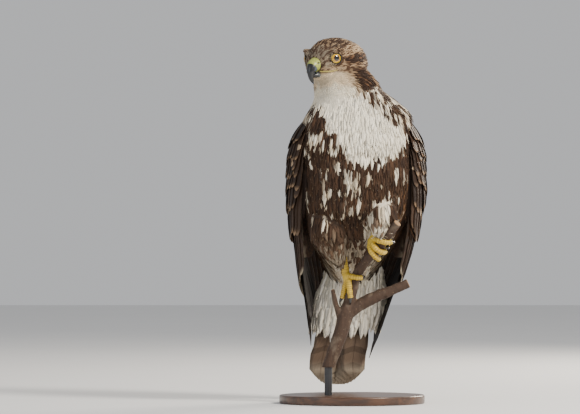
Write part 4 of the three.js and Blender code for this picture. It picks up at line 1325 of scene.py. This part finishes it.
def bill_piece(name, ring, low, high, material, replaced, swell=0.0):
    """The part of the bill whose rings lie between two distances forward."""
    forward = (ring[..., 0] - 0.1 * ring[..., 2]).mean(1)
    part = ring[(forward > low) & (forward < high)]
    middle = part.mean(1, keepdims=True)
    local = (middle + (part - middle) * (1 + swell)).reshape(-1, 3)
    pit = nostril_pit(local)
    local[:, 1] -= np.sign(local[:, 1]) * pit * NOSTRIL["deep"]
    points, faces = tube(local.reshape(part.shape))
    ob = mesh_object(name, on_head(points), faces)
    attribute(ob, "place", "FLOAT_VECTOR", points)
    attribute(ob, "pit", "FLOAT", np.concatenate([pit, [0, 0]]))
    piece(ob, material, replaced)


def face_side(f, u):
    """How far out the face's skin is at a distance forward and a height."""
    half, top, bottom = skull_at(f)
    h = np.clip((u - (top + bottom) / 2) / ((top - bottom) / 2 - SKULL_INSET), -1, 1)
    return (half - SKULL_INSET) * math.sqrt(1 - abs(h) ** (2 / SKULL_UP)) ** SKULL_ACROSS


def gape(name, side, material):
    """The soft yellow edge of the mouth."""
    path = [(40.5, 8.8, -8.6), (37, face_side(37, -9.2) + 0.2, -9.2)]
    path += [(f, face_side(f, u) + 0.5, u) for f, u in GAPE]
    ring, _ = path_rings([(f, side * l, u) for f, l, u in path], GAPE_HALVES, 12, (0, side, 0.1), 28)
    piece(mesh_object("gape_" + name, *tube(on_head(ring))), material)


horn = horn_material("bill_horn_fine", srgb(20, 20, 24), srgb(84, 94, 108), 44, 0.28)
lower_horn = horn_material("lower_bill_horn_fine", srgb(26, 26, 30), srgb(96, 104, 108), 36, 0.35)
upper, lower = bill_rings(BILL, 90, 48), bill_rings(LOWER_BILL, 40, 36)
bill_piece("cere_fine", upper, 20, CERE_FRONT + 0.6, cere_material(), ("cere",), 0.045)
bill_piece("upper_bill_fine", upper, CERE_FRONT - 1.2, BILL_END, horn, ("upper_bill",))
bill_piece("lower_bill_fine", lower, 0, BILL_END, lower_horn, ("lower_bill",))
gape_paint = gape_material()
for name, side in SIDES:
    gape(name, side, gape_paint)

# Feet

SHANK_RADII = np.array([5, 5, 5, 5.1, 5.3, 5.6, 6.0])


def grip_frame(leg):
    """Along the limb that a foot holds, out from it towards the palm, and round it."""
    along = unit(leg["limb"])
    out = np.array(leg["lean"], float)
    out = unit(out - along * (out @ along))
    around = np.cross(along, out)
    return along, out, around if around[1] <= 0 else -around


def grip_points(leg, degrees, slide, distance):
    along, out, around = grip_frame(leg)
    a = np.radians(degrees)
    return (np.array(leg["grip"], float) + np.outer(slide, along)
            + out * (distance * np.cos(a))[:, None] + around * (distance * np.sin(a))[:, None])


def toe_side(leg, toe):
    along, _, around = grip_frame(leg)
    return along if abs(toe["turn"][1] - toe["turn"][0]) > 60 else around


def foot_material():
    m = Shader("foot_skin_fine", 0.5, varnish(0.15, 0.35))
    scale = m.node("ShaderNodeTexVoronoi", {"Vector": m.here(), "Scale": 620.0}, feature="DISTANCE_TO_EDGE")
    crack = m.step(scale, 0.02, 0.12)
    colour = m.blend(m.noise(m.here(160, 160, 160)), srgb(190, 150, 30), srgb(226, 196, 66))
    # Browner in the grooves between the scutes: painted shade in the creases.
    colour = m.blend(m.attr("groove", "Fac"), colour, srgb(128, 92, 26))
    return m.finish(m.blend(crack * -0.35 + 0.35, colour, srgb(120, 88, 30)), crack, 0.35, 0.0005)


def talon_material():
    return grained_material("talon_fine", 0.2, (500, 500, 120), (14, 13, 14), (44, 40, 38), 0.2, 0.0003,
                            varnish(0.5, 0.1))


def scuted_tube(path, radius, side, steps, sides, scute):
    """A tube with raised scutes across its back: returns rings and how deep in a groove each point is."""
    ring, along = path_rings(path, np.column_stack([radius, radius]), sides, side, steps)
    saw = along / scute % 1.0
    groove = smoothstep(0.78, 1.0, saw) + smoothstep(0.12, 0.0, saw)
    deep = groove[:, None] * np.ones(sides)
    centre = ring.mean(1, keepdims=True)
    return centre + (ring - centre) * (1.03 - 0.06 * deep[..., None]), deep


def toe_tube(leg, toe, palm):
    s = np.linspace(0, 1, 12)
    radius = toe["radius"] * (1 - 0.18 * s) * (1 + 0.09 * np.cos(2 * math.pi * s * 3))
    distance = np.full(len(s), leg["radius"] + toe["radius"] + 0.4)
    path = grip_points(leg, mix(*toe["turn"], s), mix(*toe["slide"], s), distance)
    path[0] = mix(path[0], palm, 0.5)
    return scuted_tube(path, radius, toe_side(leg, toe), 60, 20, 2.9)


def claw(name, leg, toe, material):
    s = np.linspace(0, 1, 9)
    drop = toe.get("drop", (toe["slide"][1] - toe["slide"][0]) * 0.12)
    r = mix(3.0, 0.25, s ** 0.8)
    distance = leg["radius"] + mix(toe["radius"], 1.2, s) + 0.5 + 2.6 * np.sin(math.pi * s)
    path = grip_points(leg, mix(toe["turn"][1], toe["talon"], s), toe["slide"][1] + drop * s, distance)
    ring, _ = path_rings(path, np.column_stack([r * 0.85, r]), 16, toe_side(leg, toe), 30)
    ob = mesh_object(f"claw_{name}_{toe['name']}", *tube(ring))
    piece(ob, material, (f"talon_{name}_{toe['name']}",))


def foot(name, leg, skin_paint, claw_paint):
    along, out, _ = grip_frame(leg)
    palm = np.array(leg["grip"], float) + out * (leg["radius"] + 6)
    tubes = [toe_tube(leg, toe, palm) for toe in leg["toes"]]
    for toe in leg["toes"]:
        claw(name, leg, toe, claw_paint)
    shank = np.linspace(*leg["shank"], 6)
    shank = np.concatenate([shank + (0, 0, 8) * np.linspace(1, 0, 6)[:, None], [mix(shank[-1], palm, 0.6)]])
    tubes.append(scuted_tube(shank, SHANK_RADII, (1, 0, 0), 44, 22, 3.6))
    pad = [palm - out * 5, palm - out * 2, palm + out * 1, palm + out * 5]
    ball, _ = path_rings(pad, [(5, 5), (7.6, 7.6), (7.6, 7.6), (3, 3)], 22, along, 24)
    tubes.append((ball, np.zeros(ball.shape[:2])))
    ob = mesh_object("foot_fine_" + name, *joined([ring for ring, _ in tubes]))
    attribute(ob, "groove", "FLOAT", np.concatenate([np.append(deep, [0, 0]) for _, deep in tubes]))
    piece(ob, skin_paint, ("foot_" + name, "shank_" + name))


foot_paint, talon_paint = foot_material(), talon_material()
for name, leg in LEGS.items():
    foot(name, leg, foot_paint, talon_paint)

# Perch

# Limbs of the branch: points of the path, and the radius at each
PERCH_LIMBS = [
    ([(-35, 0, 49), (-29, 0, 66), (-21, 0, 88), (-14, 0, 108), (-9, 0, 128), (-5, 0, 143)],
     [9, 9.2, 9.8, 10.4, 11, 8.5]),
    ([(-12, 1, 122), (2, 1, 135), (20, 1, 146), (40, 0, 155), (60, -1, 163), (80, -2, 172)],
     [8, 9.2, 8.8, 8, 7, 6.6]),
    ([(-9, 1, 124), (-4, 0, 146), (4, -5, 178), (17, -20, 201), (37, -41, 225), (51, -52, 243),
      (63, -61, 258)],
     [8, 8.6, 7.2, 6.9, 6.8, 6.4, 6]),
    ([(-14, 0, 116), (-20, -3, 132), (-25, -5, 148), (-28, -6, 163)], [6, 4.4, 3.6, 3]),
]
PERCH_VOXEL = 1.1
PERCH_FOOT_Z = 52.3
FORK_Z = 130


def bark_material():
    m = Shader("bark_fine", 0.85)
    grain, blot = m.noise(m.here(260, 260, 90), 6.0, 0.65), m.noise(m.here(60, 60, 40))
    pore = m.node("ShaderNodeTexVoronoi", {"Vector": m.here(170, 170, 240), "Scale": 1.0}, "Distance")
    colour = m.blend(grain, srgb(34, 24, 19), srgb(84, 62, 47))
    colour = m.blend(m.step(blot, 0.52, 0.72), colour, srgb(100, 86, 72))
    colour = m.blend(m.step(pore, 0.2, 0.1), colour, srgb(104, 86, 68))
    colour = m.blend(m.attr("cut", "Fac"), colour, m.blend(grain, srgb(126, 96, 66), srgb(168, 134, 94)))
    return m.finish(colour, grain + pore * 0.4, 0.6, 0.0012)


def cut_share(p, normal):
    """1 on the sawn ends of the limbs, but not where they run into the fork."""
    cut = np.zeros(len(p))
    for path, _ in PERCH_LIMBS:
        for end, inner in ((path[0], path[1]), (path[-1], path[-2])):
            axis = unit(np.array(end, float) - np.array(inner, float))
            near = np.linalg.norm(p - end, axis=1) < 13
            cut = np.maximum(cut, near * smoothstep(0.6, 0.85, normal @ axis))
    cut[(np.abs(p[:, 2] - FORK_Z) < 22) & (p[:, 0] < 6)] = 0
    return cut


def make_perch():
    rings = [path_rings(path, np.column_stack([radii, radii]), 24, (0.3, 1, 0.1), 40)[0]
             for path, radii in PERCH_LIMBS]
    ob = mesh_object("perch_fine", *joined(rings))
    remeshed(ob, PERCH_VOXEL, 3)
    vertices = ob.data.vertices
    co, normal = read(vertices, "co").astype(float), read(vertices, "normal").astype(float)
    p = from_row(co)
    rough = (value_noise(p * (1, 1, 0.35), 3.2, 2) - 0.5) * 0.7
    rough += (value_noise(p * (1, 1, 0.5), 8, 4) - 0.5) * 0.9
    rough += 0.8 * smoothstep(0.8, 0.95, value_noise(p, 7, 9))
    cut = cut_share(p, normal)
    co += normal * (rough * (1 - cut) / 1000)[:, None]
    co[:, 2] = np.maximum(co[:, 2], PERCH_FOOT_Z / 1000)
    vertices.foreach_set("co", co.astype(np.float32).ravel())
    ob.data.update()
    attribute(ob, "cut", "FLOAT", cut)
    piece(ob, bark_material(), ("perch",))


make_perch()

# Stand

BASE = {"half_x": 104.0, "half_y": 92.0, "height": 12.0, "edge": 2.0, "foot": 1.0}


def wood_material():
    m = Shader("base_wood_fine", 0.38, varnish(0.35, 0.22))
    warp = m.noise(m.here(6, 22, 22), 3.0, output="Color")
    shifted = m.node("ShaderNodeVectorMath", {0: m.here(8, 120, 120), 1: warp}, operation="ADD")
    grain, fine = m.noise(shifted, 6.0, 0.6, 1.4), m.noise(m.here(60, 900, 900), 3.0)
    colour = m.blend(m.step(grain, 0.3, 0.7), srgb(58, 36, 24), srgb(98, 64, 42))
    return m.finish(m.blend(fine * 0.4, colour, srgb(38, 24, 16)), fine, 0.12, 0.0004)


def rod_material():
    m = Shader("rod_steel_fine", 0.35, {"Metallic": 0.9})
    lines = m.noise(m.here(60, 60, 2500), 2.0)
    colour = m.blend(lines, srgb(52, 52, 54), srgb(84, 84, 86))
    return m.finish(colour, lines, 0.08, 0.0003, lines * 0.2 + 0.28)


def make_base():
    """An oval with a narrow bevel below and a rounded edge above, with flat top and underside."""
    turn = full_turn(160)
    edge = BASE["edge"]
    rows = [(-BASE["foot"], 0.0), (0.0, BASE["foot"])]
    rows += [(-edge * (1 - math.cos(a)), BASE["height"] - edge + edge * math.sin(a))
             for a in np.linspace(0, math.pi / 2, 8)]
    rings = np.array([np.stack([(BASE["half_x"] + inset) * np.cos(turn),
                                (BASE["half_y"] + inset) * np.sin(turn) + BASE_CENTRE_Y,
                                np.full(len(turn), z)], -1) for inset, z in rows])
    ob = mesh_object("base_fine", *tube(rings))
    for poly in ob.data.polygons:
        poly.use_smooth = abs(poly.normal.z) < 0.98
    piece(ob, wood_material(), ("stand_base",))


make_base()
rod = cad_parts["stand_rod"]
rod.data.materials.clear()
rod.data.materials.append(rod_material())

# Floor, lights and camera, in metres

FLOOR_Z = -0.0004
# name, place, aim, width, watts and colour
LIGHTS = [
    ("key", (1.7, -1.5, 1.9), (0, 0, 0.33), 0.6, 120, (1.0, 0.94, 0.84)),
    ("rim", (1.3, 1.5, 1.0), (0, 0, 0.3), 0.8, 55, (1.0, 0.9, 0.76)),
    ("fill", (-1.8, -1.6, 0.9), (0, 0, 0.3), 1.6, 12, (0.9, 0.95, 1.0)),
]
# The photo is level and taken from far off. One of its pixels is 1.43 mm at the bird, and the stand's axis
# and foot are at its column 352 and row 403
PIXEL = 0.00143
PHOTO_WIDTH = 580
PHOTO_MIDDLE = (290, 207)
STAND_AT = (352, 403)
DISTANCE = 6.0
SENSOR = 36.0


def make_floor():
    me = bpy.data.meshes.new("floor")
    me.from_pydata([(x, y, FLOOR_Z) for x, y in ((-6, -8), (6, -8), (6, 6), (-6, 6))], [], [(0, 1, 2, 3)])
    m = Shader("floor", 0.9)
    colour = m.blend(m.noise(m.here(), scale=3.0), (0.70, 0.70, 0.70), (0.74, 0.74, 0.74))
    me.materials.append(m.finish(colour))
    linked("floor", me)


def make_lights():
    world = bpy.data.worlds.new("studio")
    bpy.context.scene.world = world
    world.use_nodes = True
    colour, strength = world.node_tree.nodes["Background"].inputs[:2]
    colour.default_value, strength.default_value = (0.9, 0.91, 0.93, 1), 0.6
    for name, at, aim, size, power, tone in LIGHTS:
        data = bpy.data.lights.new(name, "AREA")
        data.size, data.energy, data.color = size, power, tone
        ob = linked(name, data)
        ob.location = at
        ob.rotation_euler = (Vector(aim) - Vector(at)).to_track_quat("-Z", "Y").to_euler()


def make_camera():
    data = bpy.data.cameras.new("camera")
    data.sensor_width = SENSOR
    data.lens = SENSOR * DISTANCE / (PHOTO_WIDTH * PIXEL)
    camera = linked("camera", data)
    right, up = PHOTO_MIDDLE[0] - STAND_AT[0], STAND_AT[1] - PHOTO_MIDDLE[1]
    camera.location = (right * PIXEL, -DISTANCE, up * PIXEL)
    camera.rotation_euler = (math.pi / 2, 0, 0)
    bpy.context.scene.camera = camera


make_floor()
make_lights()
make_camera()
